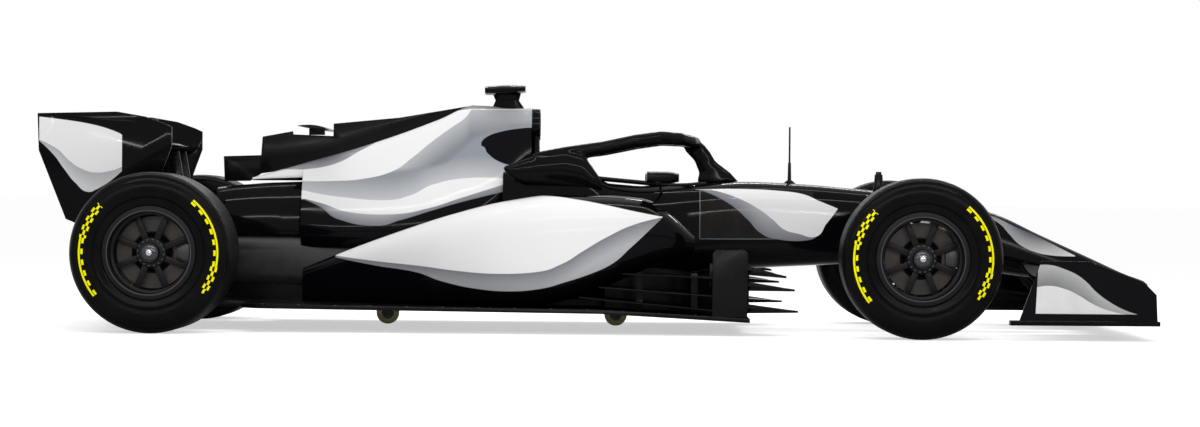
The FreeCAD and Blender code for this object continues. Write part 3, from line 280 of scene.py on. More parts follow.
def rolled_skin(name, sections):
    """A grid is rolled round a row of closed sections, its seam merged and its two ends filled."""
    rows, sides = len(sections), len(sections[0])
    bpy.ops.object.select_all(action="DESELECT")
    bpy.ops.mesh.primitive_grid_add(x_subdivisions=rows - 1, y_subdivisions=sides, size=2)
    skin = bpy.context.object
    skin.name = name
    for corner in skin.data.vertices:
        row = round((corner.co.x + 1) / 2 * (rows - 1))
        side = round((corner.co.y + 1) / 2 * sides) % sides
        corner.co = sections[row][side]
    bpy.ops.object.mode_set(mode="EDIT")
    bpy.ops.mesh.select_all(action="SELECT")
    bpy.ops.mesh.remove_doubles(threshold=0.00001)
    bpy.ops.mesh.fill_holes(sides=0)
    bpy.ops.mesh.normals_make_consistent(inside=False)
    bpy.ops.mesh.select_all(action="DESELECT")
    bpy.ops.object.mode_set(mode="OBJECT")
    return skin


def slope_at(rows, k, column):
    """The slope of a smooth line at one station, flat where the line turns back."""
    pairs = [(a, b) for a, b in ((k - 1, k), (k, k + 1)) if a >= 0 and b < len(rows)]
    slopes = [(rows[b][column] - rows[a][column]) / (rows[b][0] - rows[a][0]) for a, b in pairs]
    if len(slopes) == 1:
        return slopes[0]
    if slopes[0] * slopes[1] <= 0:
        return 0.0
    return 2 * slopes[0] * slopes[1] / (slopes[0] + slopes[1])


def fair_rows(rows, spacing):
    """Stations between the given ones, on smooth lines that never swing past them."""
    fair = []
    columns = range(len(rows[0]))
    slopes = [[slope_at(rows, k, column) for column in columns] for k in range(len(rows))]
    for k, (start, end) in enumerate(zip(rows, rows[1:])):
        span = end[0] - start[0]
        count = max(1, round(abs(span) / spacing))
        for step in range(count):
            t = step / count
            ease = (2 * t**3 - 3 * t**2 + 1, t**3 - 2 * t**2 + t, 3 * t**2 - 2 * t**3, t**3 - t**2)
            fair.append([start[c] * ease[0] + slopes[k][c] * span * ease[1] + end[c] * ease[2]
                         + slopes[k + 1][c] * span * ease[3] for c in columns])
    fair.append(list(rows[-1]))
    return fair


def body_section(row, power, sides=48, centre=0.0, inset=0.0):
    """A rounded section across the car in metres, from x, half width, low, high and crown in mm."""
    x, half, low, high, crown = row
    half, low, high = half - inset, low + inset, high - inset
    corners = []
    for k in range(sides):
        angle = 2 * math.pi * k / sides
        lift_by = (math.copysign(abs(math.sin(angle)) ** (2 / power), math.sin(angle)) + 1) / 2
        reach = math.copysign(abs(math.cos(angle)) ** (2 / power), math.cos(angle)) * half
        reach *= 1 + (crown - 1) * lift_by
        corners.append(Vector((x, centre + reach, low + (high - low) * lift_by)) / 1000)
    return corners


def body_skin(name, rows, power, spacing, inset=0.0):
    """A rolled skin on smooth lines through the body's stations."""
    return rolled_skin(name, [body_section(row, power, inset=inset) for row in fair_rows(rows, spacing)])


def modify(piece, kind, **settings):
    """Give a piece a modifier with its settings, and apply it."""
    bpy.context.view_layer.objects.active = piece
    change = piece.modifiers.new("change", kind)
    for setting, value in settings.items():
        setattr(change, setting, value)
    bpy.ops.object.modifier_apply(modifier="change")


def cut_away(piece, cutter):
    """Cut a shape out of a piece, and take the cutter away."""
    modify(piece, "BOOLEAN", object=cutter, solver="EXACT")
    bpy.data.objects.remove(cutter, do_unlink=True)


def pick(*pieces):
    """Select these pieces alone, with the first one active."""
    bpy.ops.object.select_all(action="DESELECT")
    for piece in pieces:
        piece.select_set(True)
    bpy.context.view_layer.objects.active = pieces[0]


def smooth_by(piece, angle):
    """Shade a piece smooth where its faces meet at less than an angle."""
    pick(piece)
    bpy.ops.object.shade_smooth_by_angle(angle=math.radians(angle))


def seat_on(piece, body, slot, *nodes):
    """Say what a piece rides on and which nodes it stands for; the slot is not used."""
    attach(piece, body)
    if nodes:
        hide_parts(*nodes)


def paint_all(piece, finish):
    piece.data.materials.clear()
    piece.data.materials.append(finish.material)


def finish_piece(piece, finish, body, slot, *nodes):
    """Give a piece its one finish and seat it."""
    paint_all(piece, finish)
    seat_on(piece, body, slot, *nodes)


tub_wall = 16
tub_rows = [(-430, 300, 128, 730, 0.80), (-300, 330, 128, 772, 0.82), (-180, 345, 128, 770, 0.84),
            (-60, 350, 128, 742, 0.86), (30, 345, 128, 668, 0.90), (200, 325, 150, 645, 0.92),
            (400, 262, 240, 645, 0.92), (640, 212, 270, 655, 0.90), (880, 190, 284, 646, 0.86),
            (1190, 160, 300, 620, 0.84)]
tub = body_skin("tub_shell", tub_rows, 4.0, 34)
hollow_rows = [(-330, 326, 128, 768, 0.82)] + tub_rows[2:-1] + [(1170, 162, 300, 622, 0.84)]
cut_away(tub, body_skin("tub_hollow", hollow_rows, 4.0, 40, tub_wall))


def mouth_outline(grow):
    """The cockpit's mouth seen from above: round ahead, straight at the sides, square behind."""
    corners = []
    for k in range(17):
        sweep = math.radians(-90 + k * 180 / 16)
        corners.append(((300 + (170 + grow) * math.cos(sweep)) / 1000, (170 + grow) * math.sin(sweep) / 1000))
    half = (245 + grow) / 1000
    back = (-300 - grow) / 1000
    return corners + [(0.0, half), (back, half), (back, -half), (0.0, -half)]


mouth = rolled_skin("tub_mouth", [[Vector((x, y, z)) for x, y in mouth_outline(0)] for z in (0.56, 1.0)])
cut_away(tub, mouth)
smooth_by(tub, 32)

tub_paint = black_coat("tub_lacquer")
x, z = tub_paint.x, tub_paint.z
flame_edge = tub_paint.edge((427, 616), (482, 596), (561, 554), (640, 487), (703, 425), (751, 405),
                            (920, 402), (950, 428), (997, 485), (1036, 537))
white_edge = tub_paint.edge((482, 616), (576, 589), (687, 535), (750, 488), (813, 439), (870, 425),
                            (930, 412), (985, 470), (1036, 536))
panel_top = tub_paint.edge((401, 616), (639, 620), (800, 612), (869, 603), (953, 571), (1036, 538))
panel_hem = tub_paint.edge((424, 402), (760, 404), (930, 412))
on_panel = x.within(0.41, 1.036) * z.below(panel_top) * tub_paint.outside(0.0, 0.45)
flame_tone = tub_paint.mix(z.above(flame_edge, 0.11), flame_grey, pale_grey)
bare_panel = x.within(0.430, 0.93) * z.above(panel_hem) * (z < 0.616)
bare_tone = tub_paint.mix(tub_paint.noise(16.0), (0.004, 0.0038, 0.0036), (0.020, 0.018, 0.016))
# Pale lines on the bare panel: a seam at its rear edge, and a painted highlight along its lower edge where
# the light catches it.
seam = x.within(0.4285, 0.4320) * z.within(0.405, 0.618)
hem_highlight_line = (z - panel_hem).within(-0.001, 0.002) * x.within(0.43, 0.78)
tub_paint.lacquer(tub_paint.layers(
    gloss_black,
    (bare_panel, bare_tone),
    (seam.to("MAXIMUM", hem_highlight_line), seam_and_highlight_grey),
    (on_panel * z.above(flame_edge), flame_tone),
    (on_panel * z.above(white_edge), flame_white)))
finish_piece(tub, tub_paint, "car", "gloss_black", "monocoque")


# Cockpit rim: a rolled black carbon lip bonded round the cockpit's mouth. A thin profile is
# carried round the mouth's outline at the height of the tub's skin.

def tub_top(x, y):
    """The height of the tub's skin over one point, in metres."""
    for fore, aft in zip(tub_rows[1:], tub_rows):
        if aft[0] <= x * 1000 <= fore[0]:
            share = (x * 1000 - aft[0]) / (fore[0] - aft[0])
            row = [a + (b - a) * share for a, b in zip(aft, fore)]
    return max(corner.z for corner in body_section(row, 4.0, 400) if abs(corner.y - y) < 0.004)


rim_sections = []
rim_line = mouth_outline(-2)
for k, (x, y) in enumerate(rim_line):
    before, after = rim_line[k - 1], rim_line[(k + 1) % len(rim_line)]
    outward = Vector((after[1] - before[1], before[0] - after[0], 0)).normalized()
    middle = Vector((x, y, tub_top(x, y) - 0.001))
    turns = [2 * math.pi * step / 12 for step in range(12)]
    rim_sections.append([middle + outward * 0.011 * math.cos(t) + Vector((0, 0, 0.009 * math.sin(t)))
                         for t in turns])
rim_sections.append(rim_sections[0])
cockpit_rim = rolled_skin("cockpit_rim", rim_sections)
bpy.ops.object.mode_set(mode="EDIT")
bpy.ops.mesh.select_all(action="SELECT")
bpy.ops.mesh.remove_doubles(threshold=0.0002)
bpy.ops.mesh.delete_loose()
bpy.ops.object.mode_set(mode="OBJECT")
smooth_by(cockpit_rim, 50)

weave = Finish("bare_carbon", (0.004, 0.004, 0.005), 0.22, specular=0.10)
cloth = weave.add("TexWave", weave.spot, 190.0, 0.0, 0.0, wave_type="BANDS", bands_direction="DIAGONAL")
tow = weave.add("TexChecker", weave.spot, (0.0015, 0.0015, 0.002), (0.006, 0.006, 0.007), 160.0)
dust = weave.noise(6.0, 5.0)
weave["Base Color"] = weave.mix(dust.ranged(0.0, 0.3, 0.5, 0.9), tow, (0.016, 0.015, 0.014))
weave["Roughness"] = dust.ranged(0.12, 0.34, 0.3, 0.8)
weave.rough_up(cloth, 0.012, 0.0004)
finish_piece(cockpit_rim, weave, "car", "carbon")


# Nose: a slim lacquered cone on two pylons. Its skin is one fair shell, and the pylons are flat
# carbon plates with rounded edges that carry the front wing.

nose_rows = [(1190.5, 160, 300, 620, 0.84), (1336, 150, 292, 604, 0.82), (1500, 138, 284, 580, 0.80),
             (1729, 120, 262, 525, 0.78), (1942, 104, 236, 429, 0.78), (2164, 88, 214, 329, 0.80),
             (2330, 74, 196, 255, 0.85), (2396, 62, 188, 232, 0.88), (2414, 44, 192, 218, 0.90)]
pylon_middle, pylon_half = 56, 6
pylon_outline = [(2060, 300), (2240, 262), (2268, 106), (2150, 106)]
nose = body_skin("nose_shell", nose_rows, 3.2, 32)
for side in (-1, 1):
    flats = [[Vector((x, side * pylon_middle + off, z)) / 1000 for x, z in pylon_outline]
             for off in (-pylon_half, pylon_half)]
    pylon = rolled_skin("nose_pylon", flats)
    modify(pylon, "BEVEL", width=0.004, segments=3)
    modify(nose, "BOOLEAN", object=pylon, operation="UNION")
    bpy.data.objects.remove(pylon, do_unlink=True)
smooth_by(nose, 32)

nose_paint = black_coat("nose_lacquer")
x, z = nose_paint.x, nose_paint.z
nose_top = nose_paint.edge((1450, 562), (1600, 545), (1730, 508), (1819, 467), (1908, 429), (1986, 391),
                           (2053, 357), (2092, 338))
nose_low = nose_paint.edge((1450, 555), (1600, 535), (1700, 505), (1752, 478), (1797, 430), (1842, 386),
                           (1898, 358), (1965, 342), (2092, 336))
swoosh = z.above(nose_low) * z.below(nose_top) * x.within(1.46, 2.09)
low_tone = nose_paint.mix(x.above(1.70, 0.25), (0.20, 0.21, 0.22), (0.74, 0.74, 0.74))
swoosh_tone = nose_paint.mix(z.above(nose_low, 0.07), low_tone, (0.11, 0.12, 0.14))
nose_paint.lacquer(nose_paint.mix(swoosh, gloss_black, swoosh_tone))
finish_piece(nose, nose_paint, "car", "gloss_black", "nose_cone")


# Sidepods: deep shells that sweep in to the tail, white with a grey lower flame on black
# lacquer. Each has a wide duct mouth behind its sharp upper lip.

hands = (("right", -1), ("left", 1))
pod_rows = [(400, 172.5, 345, 430, 412.5), (335, 200, 318, 492, 450), (258, 215, 298, 548, 475),
            (180, 223, 268, 578, 493), (0, 231, 190, 590, 511), (-180, 229, 130, 590, 509),
            (-400, 210, 100, 562, 480), (-640, 172.5, 100, 502, 412.5), (-860, 130, 100, 430, 330),
            (-1080, 90, 100, 350, 250), (-1300, 52.5, 100, 262, 197.5)]
duct_rows = [(460, 155, 500, 562, 485), (200, 160, 500, 562, 490), (-40, 155, 470, 560, 505)]


def pod_skin(name, rows, side, spacing):
    """A skin on one flank, from x, half width, low, high and the middle's distance from the spine."""
    sections = []
    for x, half, low, high, middle in fair_rows(rows, spacing):
        sections.append(body_section((x, half, low, high, 1.0), 2.9, centre=side * middle))
    return rolled_skin(name, sections)


pod_paint = black_coat("sidepod_lacquer")
x, z = pod_paint.x, pod_paint.z
pod_top = pod_paint.edge((-1155, 317), (-1031, 375), (-878, 441), (-736, 499), (-559, 550), (-394, 578),
                         (-240, 583), (-87, 566), (32, 544), (150, 519), (263, 498))
pod_white = pod_paint.edge((-1155, 316), (-971, 296), (-770, 279), (-604, 261), (-439, 252), (-261, 263),
                           (-167, 294), (-73, 351), (33, 414), (151, 468), (263, 497))
pod_grey = pod_paint.edge((-1154, 309), (-971, 277), (-793, 253), (-675, 216), (-533, 188), (-391, 178),
                          (-261, 189), (-143, 221), (-25, 262), (46, 296), (128, 367), (198, 433), (263, 496))
outer_face = (x < -0.06).to("MAXIMUM", pod_paint.outside(0.44, 0.40))
flame_zone = z.below(pod_top, 0.003) * x.within(-1.155, 0.263) * outer_face
pod_tone = pod_paint.mix(pod_white.above(z, 0.075), flame_grey, pale_grey)
pod_paint.lacquer(pod_paint.layers(
    gloss_black,
    (z.above(pod_grey) * flame_zone, pod_tone),
    (z.above(pod_white) * flame_zone, flame_white)))
for hand, side in hands:
    pod = pod_skin(f"sidepod_shell_{hand}", pod_rows, side, 30)
    cut_away(pod, pod_skin("pod_duct", duct_rows, side, 60))
    cut_away(pod, body_skin("cell_room", tub_rows, 4.0, 60, -0.5))
    smooth_by(pod, 34)
    finish_piece(pod, pod_paint, "car", "gloss_white", f"sidepod_{hand}")


# Engine cover: a thin shell from the air intake back to a pointed tail, white with grey flames
# above a black skirt. It is open below and behind, where the gearbox shows.

cover_rows = [(-310, 190, 640, 972, 0.40), (-420, 290, 480, 975, 0.28), (-500, 330, 380, 981, 0.22),
              (-566, 345, 330, 983, 0.20), (-721, 345, 290, 921, 0.20), (-898, 315, 290, 853, 0.22),
              (-1119, 265, 300, 780, 0.26), (-1320, 215, 330, 722, 0.30)]
core_rows = [(-300, 178, 650, 960, 0.40)]
core_rows += [(x, half - 8, low + 6, high - 8, crown) for x, half, low, high, crown in cover_rows[1:-1]]
core_rows += [(-1340, 207, 336, 714, 0.30)]
tail_rows = [(-1300, 70, 643, 728, 0.4), (-1420, 46, 643, 692, 0.5), (-1549, 14, 643, 656, 0.8)]
cover = body_skin("cover_shell", cover_rows, 2.4, 26)
cut_away(cover, body_skin("cover_core", core_rows, 2.4, 30))
bpy.ops.mesh.primitive_cube_add(size=1, location=(-0.9, 0, 0.175))
skirt_cut = bpy.context.object
skirt_cut.data.transform(Matrix.Diagonal((1.4, 1.2, 0.35, 1)))
cut_away(cover, skirt_cut)
smooth_by(cover, 34)
tail = body_skin("cover_tail", tail_rows, 2.4, 25)
smooth_by(tail, 40)

cover_paint = black_coat("cover_lacquer")
x, z = cover_paint.x, cover_paint.z
first_white = cover_paint.edge((-1324, 691), (-1196, 712), (-1063, 780), (-930, 854), (-797, 914),
                               (-665, 952), (-578, 966))
first_low = cover_paint.edge((-1324, 640), (-1191, 641), (-1059, 650), (-926, 683), (-833, 748), (-754, 815),
                             (-662, 884), (-609, 922), (-580, 962))
second_grey = cover_paint.edge((-1319, 629), (-952, 675), (-707, 708), (-634, 755), (-536, 838), (-390, 888))
second_white = cover_paint.edge((-1307, 598), (-1124, 569), (-942, 559), (-845, 578), (-724, 633),
                                (-578, 659), (-420, 660))
third_grey = cover_paint.edge((-1305, 562), (-1232, 544), (-1062, 500), (-904, 498), (-759, 524),
                              (-625, 567), (-432, 630))
skirt = cover_paint.edge((-1305, 558), (-1232, 526), (-1147, 472), (-989, 447), (-880, 471), (-758, 509),
                         (-625, 549), (-431, 599))
intake_line = cover_paint.edge((-530, 817), (-503, 844), (-450, 864), (-344, 882), (-300, 884))
intake_sill = cover_paint.edge((-632, 732), (-530, 800), (-503, 770), (-440, 728), (-393, 716), (-300, 716))
second_tone = cover_paint.mix(z.above(second_white, 0.10), (0.50, 0.51, 0.53), (0.26, 0.28, 0.31))
first_tone = cover_paint.mix(first_low.above(z, 0.11), (0.44, 0.45, 0.47), (0.22, 0.235, 0.26))
top_tone = cover_paint.mix(z.above(first_white, 0.05), (0.30, 0.31, 0.33), (0.16, 0.17, 0.20))
cover_coat = cover_paint.layers(
    gloss_black,
    (z.above(skirt), flame_grey),
    (z.above(skirt, 0.06) * z.above(skirt), pale_grey),
    (z.above(third_grey), flame_white),
    (z.above(second_white), second_tone),
    (z.above(second_grey, 0.02), first_tone),
    (z.above(first_low), flame_white),
    (z.above(first_white), top_tone),
    (z.above(intake_sill) * (x > -0.53) * (z < intake_line), gloss_black))
cover_paint.lacquer(cover_paint.mix(cover_paint.outside(0.0, 0.58), gloss_black, cover_coat))
finish_piece(cover, cover_paint, "car", "gloss_white", "engine_cover")
finish_piece(tail, cover_paint, "car", "gloss_white")


# Dressed plates: wings, end plates, floor, arms and brackets keep their CAD form. Each copy has
# its triangles joined to flats, its edges eased by a fine radius, and its curves shaded smooth.

def dress(node, finish, slot, body="car", ease=0.0015, angle=32):
    """A smooth copy of a node that stands in for it."""
    copy = bpy.data.objects.new(f"{node}_dressed", bpy.data.objects[node].data.copy())
    bpy.context.collection.objects.link(copy)
    pick(copy)
    bpy.ops.object.mode_set(mode="EDIT")
    bpy.ops.mesh.select_all(action="SELECT")
    bpy.ops.mesh.remove_doubles(threshold=0.00002)
    bpy.ops.mesh.dissolve_limited(angle_limit=math.radians(0.5))
    bpy.ops.mesh.select_all(action="DESELECT")
    bpy.ops.object.mode_set(mode="OBJECT")
    if ease:
        modify(copy, "BEVEL", width=ease, segments=2, limit_method="ANGLE", angle_limit=math.radians(50),
               use_clamp_overlap=True)
    smooth_by(copy, angle)
    finish_piece(copy, finish, body, slot, node)
    return copy


black_paint = black_coat("black_lacquer")
mottle = black_paint.noise(3.0, 3.0, 0.5)
black_paint.lacquer(black_paint.mix(mottle, (0.0015, 0.0015, 0.002), (0.004, 0.004, 0.005)))

for node in ("front_wing_main", "front_wing_flaps", "rear_wing_main", "roll_hoop", "camera_pod", "mirrors",
             "gearbox_cowl"):
    dress(node, black_paint, "gloss_black", angle=38)
halo = dress("halo", black_paint, "gloss_black", ease=0)
modify(halo, "REMESH", mode="VOXEL", voxel_size=0.005)
modify(halo, "SMOOTH", factor=0.5, iterations=24)
smooth_by(halo, 180)
dress("rear_wing_flap", black_paint, "gloss_black", "rear_wing_flap", angle=38)
for node in ("floor", "plank", "diffuser", "bargeboards", "shark_fin", "rear_wing_pylons", "masts",
             "front_suspension", "rear_suspension", "rear_crash_structure"):
    dress(node, weave, "carbon", ease=0.001, angle=38)


# Turning vanes: two curved carbon boards a side stand on the floor's leading edge below the
# survival cell, and a third closes the gap beside the gearbox. They are thin sheets bent to an arc.

vane_half = 0.002
vane_lines = ((0.52, -0.42, 0.165, 0.075, 0.082, 0.290),
              (0.42, 0.02, 0.330, 0.040, 0.082, 0.285),
              (-1.02, -1.62, 0.160, -0.030, 0.090, 0.190))


def under_tub(x):
    """The height of the tub's underside at one station, in metres."""
    for aft, fore in zip(tub_rows, tub_rows[1:]):
        if aft[0] <= x * 1000 <= fore[0]:
            return (aft[2] + (fore[2] - aft[2]) * (x * 1000 - aft[0]) / (fore[0] - aft[0])) / 1000
    return 1.0


def vane(side, start, end, inner, spread, low, high):
    """One board from its start to its end along the car, bent outwards, its lip raised to the rear."""
    rows = []
    for k in range(13):
        share = k / 12
        x = start + (end - start) * share
        y = side * (inner + spread * math.sin(share * 1.5))
        top = high - 0.03 * (1 - share) ** 2
        if y * side < 0.3:
            top = min(top, under_tub(x) + 0.004)
        rows.append([Vector((x, y - vane_half, low)), Vector((x, y + vane_half, low)),
                     Vector((x, y + vane_half, top)), Vector((x, y - vane_half, top))])
    return rolled_skin("vane_board", rows)


def join_all(pieces, name):
    """Join several meshes to one piece."""
    pick(*pieces)
    bpy.ops.object.join()
    joined = bpy.context.object
    joined.name = name
    return joined


for hand, side in hands:
    vanes = join_all([vane(side, *line) for line in vane_lines], f"turning_vanes_{hand}")
    smooth_by(vanes, 35)
    finish_piece(vanes, weave, "car", "carbon")


# Front wing end plates: flat black plates with a white flame that fades to grey, on a foot that
# runs out along the ground.

front_plate_paint = black_coat("front_plate_lacquer")
x, y, z = front_plate_paint.x, front_plate_paint.y, front_plate_paint.z
plate_white = front_plate_paint.edge((1812, 220), (1869, 227), (1927, 216), (1990, 188), (2043, 156),
                                     (2106, 129), (2200, 108))
plate_grey = front_plate_paint.edge((1812, 312), (1873, 313), (1926, 298), (1979, 275), (2021, 244),
                                    (2063, 202), (2116, 163), (2180, 129), (2253, 106))
panel_rear = z.to("MULTIPLY_ADD", 0.048, 1.806)
on_plate = (x > panel_rear) * (z > 0.112) * (y.to("ABSOLUTE") > 0.895)
cloud = front_plate_paint.noise(9.0)
plate_tone = front_plate_paint.mix(plate_grey.above(z, 0.09), (0.40, 0.41, 0.41), (0.11, 0.11, 0.115))
plate_tone = front_plate_paint.mix(cloud * 0.45, plate_tone, (0.5, 0.5, 0.5))
plate_pale = front_plate_paint.mix(cloud * 0.5, flame_white, (0.42, 0.43, 0.43))
front_plate_paint.lacquer(front_plate_paint.layers(
    gloss_black,
    (on_plate * z.below(plate_grey), plate_tone),
    (on_plate * z.below(plate_white), plate_pale)))
dress("front_wing_endplates", front_plate_paint, "gloss_white")


# Rear wing end plates: white above and ahead, with a grey flame and a dark lower corner behind,
# and a black leading edge.

rear_plate_paint = black_coat("rear_plate_lacquer")
x, z = rear_plate_paint.x, rear_plate_paint.z
white_line = rear_plate_paint.edge((-2410, 808), (-2370, 790), (-2324, 763), (-2278, 718), (-2223, 682),
                                   (-2168, 667), (-2104, 674), (-2054, 692))
grey_line = rear_plate_paint.edge((-2410, 804), (-2389, 786), (-2343, 740), (-2296, 677), (-2250, 622),
                                  (-2195, 584), (-2159, 596), (-2054, 672))
upper_line = rear_plate_paint.edge((-2410, 905), (-2074, 841), (-2041, 800))
in_panel = x.within(-2.407, -2.052) * z.below(upper_line)
wing_tone = rear_plate_paint.mix(white_line.above(z, 0.07), (0.42, 0.43, 0.45), (0.62, 0.63, 0.64))
rear_plate_paint.lacquer(rear_plate_paint.layers(
    gloss_black,
    (in_panel * z.above(grey_line), wing_tone),
    (in_panel * z.above(white_line), flame_white)))
dress("rear_wing_endplates", rear_plate_paint, "gloss_white")


# Tyres: wide slicks with a glossy moulded sidewall, a raised guard rib and a smooth tread. Each
# is spun from its profile, and its yellow bands and squares are printed on the walls.

joint_places = {joint["name"]: Vector(joint["pos_m"]) for joint in frame["joints"]}
tyre_radius = joint_places["front_wheel_spin_right"].z
wheels = []
for axle in ("front", "rear"):
    for hand, side in hands:
        low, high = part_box(f"{axle}_tyre_{hand}")
        wheels.append((axle, hand, side, joint_places[f"{axle}_wheel_spin_{hand}"], (high.y - low.y) / 2))


def spun(name, profile, centre, steps):
    """A ring spun round a wheel's axle from (radius, along the axle) corners."""
    bpy.ops.object.select_all(action="DESELECT")
    bpy.ops.mesh.primitive_circle_add(vertices=len(profile), radius=1)
    ring = bpy.context.object
    ring.name = name
    for corner, (radius, along) in zip(ring.data.vertices, profile):
        corner.co = centre + Vector((0, along, radius))
    bpy.ops.object.mode_set(mode="EDIT")
    bpy.ops.mesh.select_all(action="SELECT")
    bpy.ops.mesh.spin(steps=steps, angle=2 * math.pi, center=centre, axis=(0, 1, 0))
    bpy.ops.mesh.select_all(action="SELECT")
    bpy.ops.mesh.remove_doubles(threshold=0.00002)
    bpy.ops.mesh.normals_make_consistent(inside=False)
    bpy.ops.object.mode_set(mode="OBJECT")
    return ring


def from_axle(finish):
    """The distance from a wheel's axle, in metres."""
    return (finish.x * finish.x + finish.z * finish.z).to("SQRT")


tooth_pitch = 9.417
square_angle = 4.1
square_size = 0.0097
squares_from, squares_to = 0.264, 0.293
print_yellow = (0.87, 0.82, 0.0)


def rubber(name, centre, side):
    """Tyre rubber with bands and squares printed on one wheel's outer wall, at bearings in degrees."""
    finish = Finish(name, (0.003, 0.003, 0.003), 0.3, specular=0.05, centre=centre)
    radius = from_axle(finish)
    bearing = finish.z.to("ARCTAN2", finish.x) * (180 / math.pi)
    bearing = bearing + (bearing < -90.0) * 360.0
    outboard = finish.y * float(side) > 0.0
    solid_arc = bearing.within(-11.25, 49.7) + bearing.within(167.5, 219.0)
    check_arc = bearing.within(-36.0, -11.25) + bearing.within(135.5, 167.5)
    tooth = ((bearing - 45.0) * (2 * math.pi / tooth_pitch)).to("SINE") > 0.0
    band = radius.within(0.2825, 0.2905) * solid_arc
    teeth = radius.within(0.270, 0.280) * solid_arc * tooth
    ring = ((radius - squares_from) / square_size).to("FLOOR")
    column = ((bearing + 36.0) / square_angle).to("FLOOR")
    odd = (ring + column).to("FLOORED_MODULO", 2.0) > 0.5
    squares = radius.within(squares_from, squares_to) * check_arc * odd
    printed = band.to("MAXIMUM", teeth).to("MAXIMUM", squares)
    scuff = finish.noise(9.0, 5.0)
    tread = radius.within(0.33, 0.4)
    finish["Base Color"] = finish.layers(
        (0.001, 0.001, 0.0012),
        (scuff, (0.005, 0.0048, 0.0046)),
        (tread, (0.006, 0.0058, 0.0056)),
        (printed * outboard, print_yellow))
    finish["Roughness"] = tread.to("MULTIPLY_ADD", 0.22, scuff.ranged(0.14, 0.30))
    guard_rings = radius.within(0.242, 0.258) * (radius * 2600.0).to("SINE")
    finish.rough_up(finish.noise(320.0, 3.0).to("MULTIPLY_ADD", 0.5, guard_rings), 0.10, 0.0006)
    return finish


for axle, hand, side, centre, half in wheels:
    wall = [(0.1812, half - 0.0205), (0.1955, half - 0.0205), (0.1985, half - 0.014), (0.204, half - 0.012),
            (0.221, half - 0.012), (0.2285, half - 0.009), (0.2325, half - 0.0035), (0.2345, half - 0.0015),
            (0.237, half - 0.0015), (0.2385, half - 0.0032), (0.246, half - 0.0022), (0.262, half - 0.0004),
            (0.276, half - 0.0008), (0.290, half - 0.0028), (0.3005, half - 0.0058), (0.3025, half - 0.0082),
            (0.309, half - 0.0105), (0.317, half - 0.0155), (0.3245, half - 0.023), (0.3305, half - 0.033),
            (0.334, half - 0.046), (tyre_radius, half - 0.062), (tyre_radius, half * 0.35)]
    profile = wall + [(radius, -along) for radius, along in reversed(wall)]
    tyre = spun(f"{axle}_tyre_carcass_{hand}", profile, centre, 144)
    smooth_by(tyre, 30)
    finish_piece(tyre, rubber(f"{axle}_rubber_{hand}", centre, side), f"{axle}_wheel_{hand}", "tyre",
                 f"{axle}_tyre_{hand}")


# Rims: cast in dark satin alloy with a turned lip, a deep dish and eight flat spokes that meet a
# bolted collar. One is made for each wheel, with its face set deep behind the lip.

rim_finish = Finish("rim_satin", (0.006, 0.006, 0.007), 0.28, specular=0.12)
cast = rim_finish.noise(40.0)
rim_finish["Base Color"] = rim_finish.mix(cast, (0.003, 0.003, 0.0035), (0.010, 0.010, 0.011))
rim_finish["Roughness"] = cast.ranged(0.26, 0.42)


def polished(name, colour, roughness, scale, low, high, detail=2.0):
    """A metal of one colour whose polish is uneven."""
    finish = Finish(name, colour, roughness, metallic=1.0)
    finish["Roughness"] = finish.noise(scale, detail, 0.5).ranged(low, high)
    return finish


lip_finish = polished("rim_lip_polish", (0.080, 0.085, 0.095), 0.14, 300.0, 0.12, 0.22)
bolt_finish = polished("bolt_steel", (0.10, 0.10, 0.11), 0.25, 500.0, 0.18, 0.4)


def rim_spoke(centre, side, face, angle):
    """One flat spoke from the collar to the barrel, thinner outwards, with its edges eased."""
    bpy.ops.object.select_all(action="DESELECT")
    bpy.ops.mesh.primitive_cube_add(size=1)
    spoke = bpy.context.object
    out = Vector((math.cos(angle), 0, math.sin(angle)))
    wide = Vector((-math.sin(angle), 0, math.cos(angle)))
    for corner in spoke.data.vertices:
        reach, half_width, fall = (0.166, 0.0118, 0.004) if corner.co.x > 0 else (0.05, 0.0135, 0.0)
        depth = 0.0 if corner.co.y * side > 0 else 0.015
        corner.co = (centre + out * reach + wide * half_width * 2 * corner.co.z
                     + Vector((0, side * (face - 0.003 - depth - fall), 0)))
    modify(spoke, "BEVEL", width=0.0022, segments=2)
    bpy.ops.object.mode_set(mode="EDIT")
    bpy.ops.mesh.select_all(action="SELECT")
    bpy.ops.mesh.normals_make_consistent(inside=False)
    bpy.ops.object.mode_set(mode="OBJECT")
    smooth_by(spoke, 35)
    spoke.data.materials.append(rim_finish.material)
    return spoke


def rim_bolts(centre, side, face):
    """Sixteen small bolts round the collar, copied from one."""
    bpy.ops.object.select_all(action="DESELECT")
    bpy.ops.mesh.primitive_cylinder_add(vertices=8, radius=0.0030, depth=0.005, rotation=(math.pi / 2, 0, 0),
                                        location=centre + Vector((0.0545, side * (face + 0.003), 0)))
    bolt = bpy.context.object
    bpy.ops.object.transform_apply(location=True, rotation=True, scale=True)
    bolt.data.materials.append(bolt_finish.material)
    bolts = []
    for k in range(16):
        turned_bolt = bpy.data.objects.new("rim_bolt", bolt.data.copy())
        bpy.context.collection.objects.link(turned_bolt)
        spin = Matrix.Translation(centre) @ Matrix.Rotation(math.radians(22.5 * k + 8), 4, "Y")
        turned_bolt.data.transform(spin @ Matrix.Translation(-centre))
        bolts.append(turned_bolt)
    bpy.data.objects.remove(bolt, do_unlink=True)
    return bolts


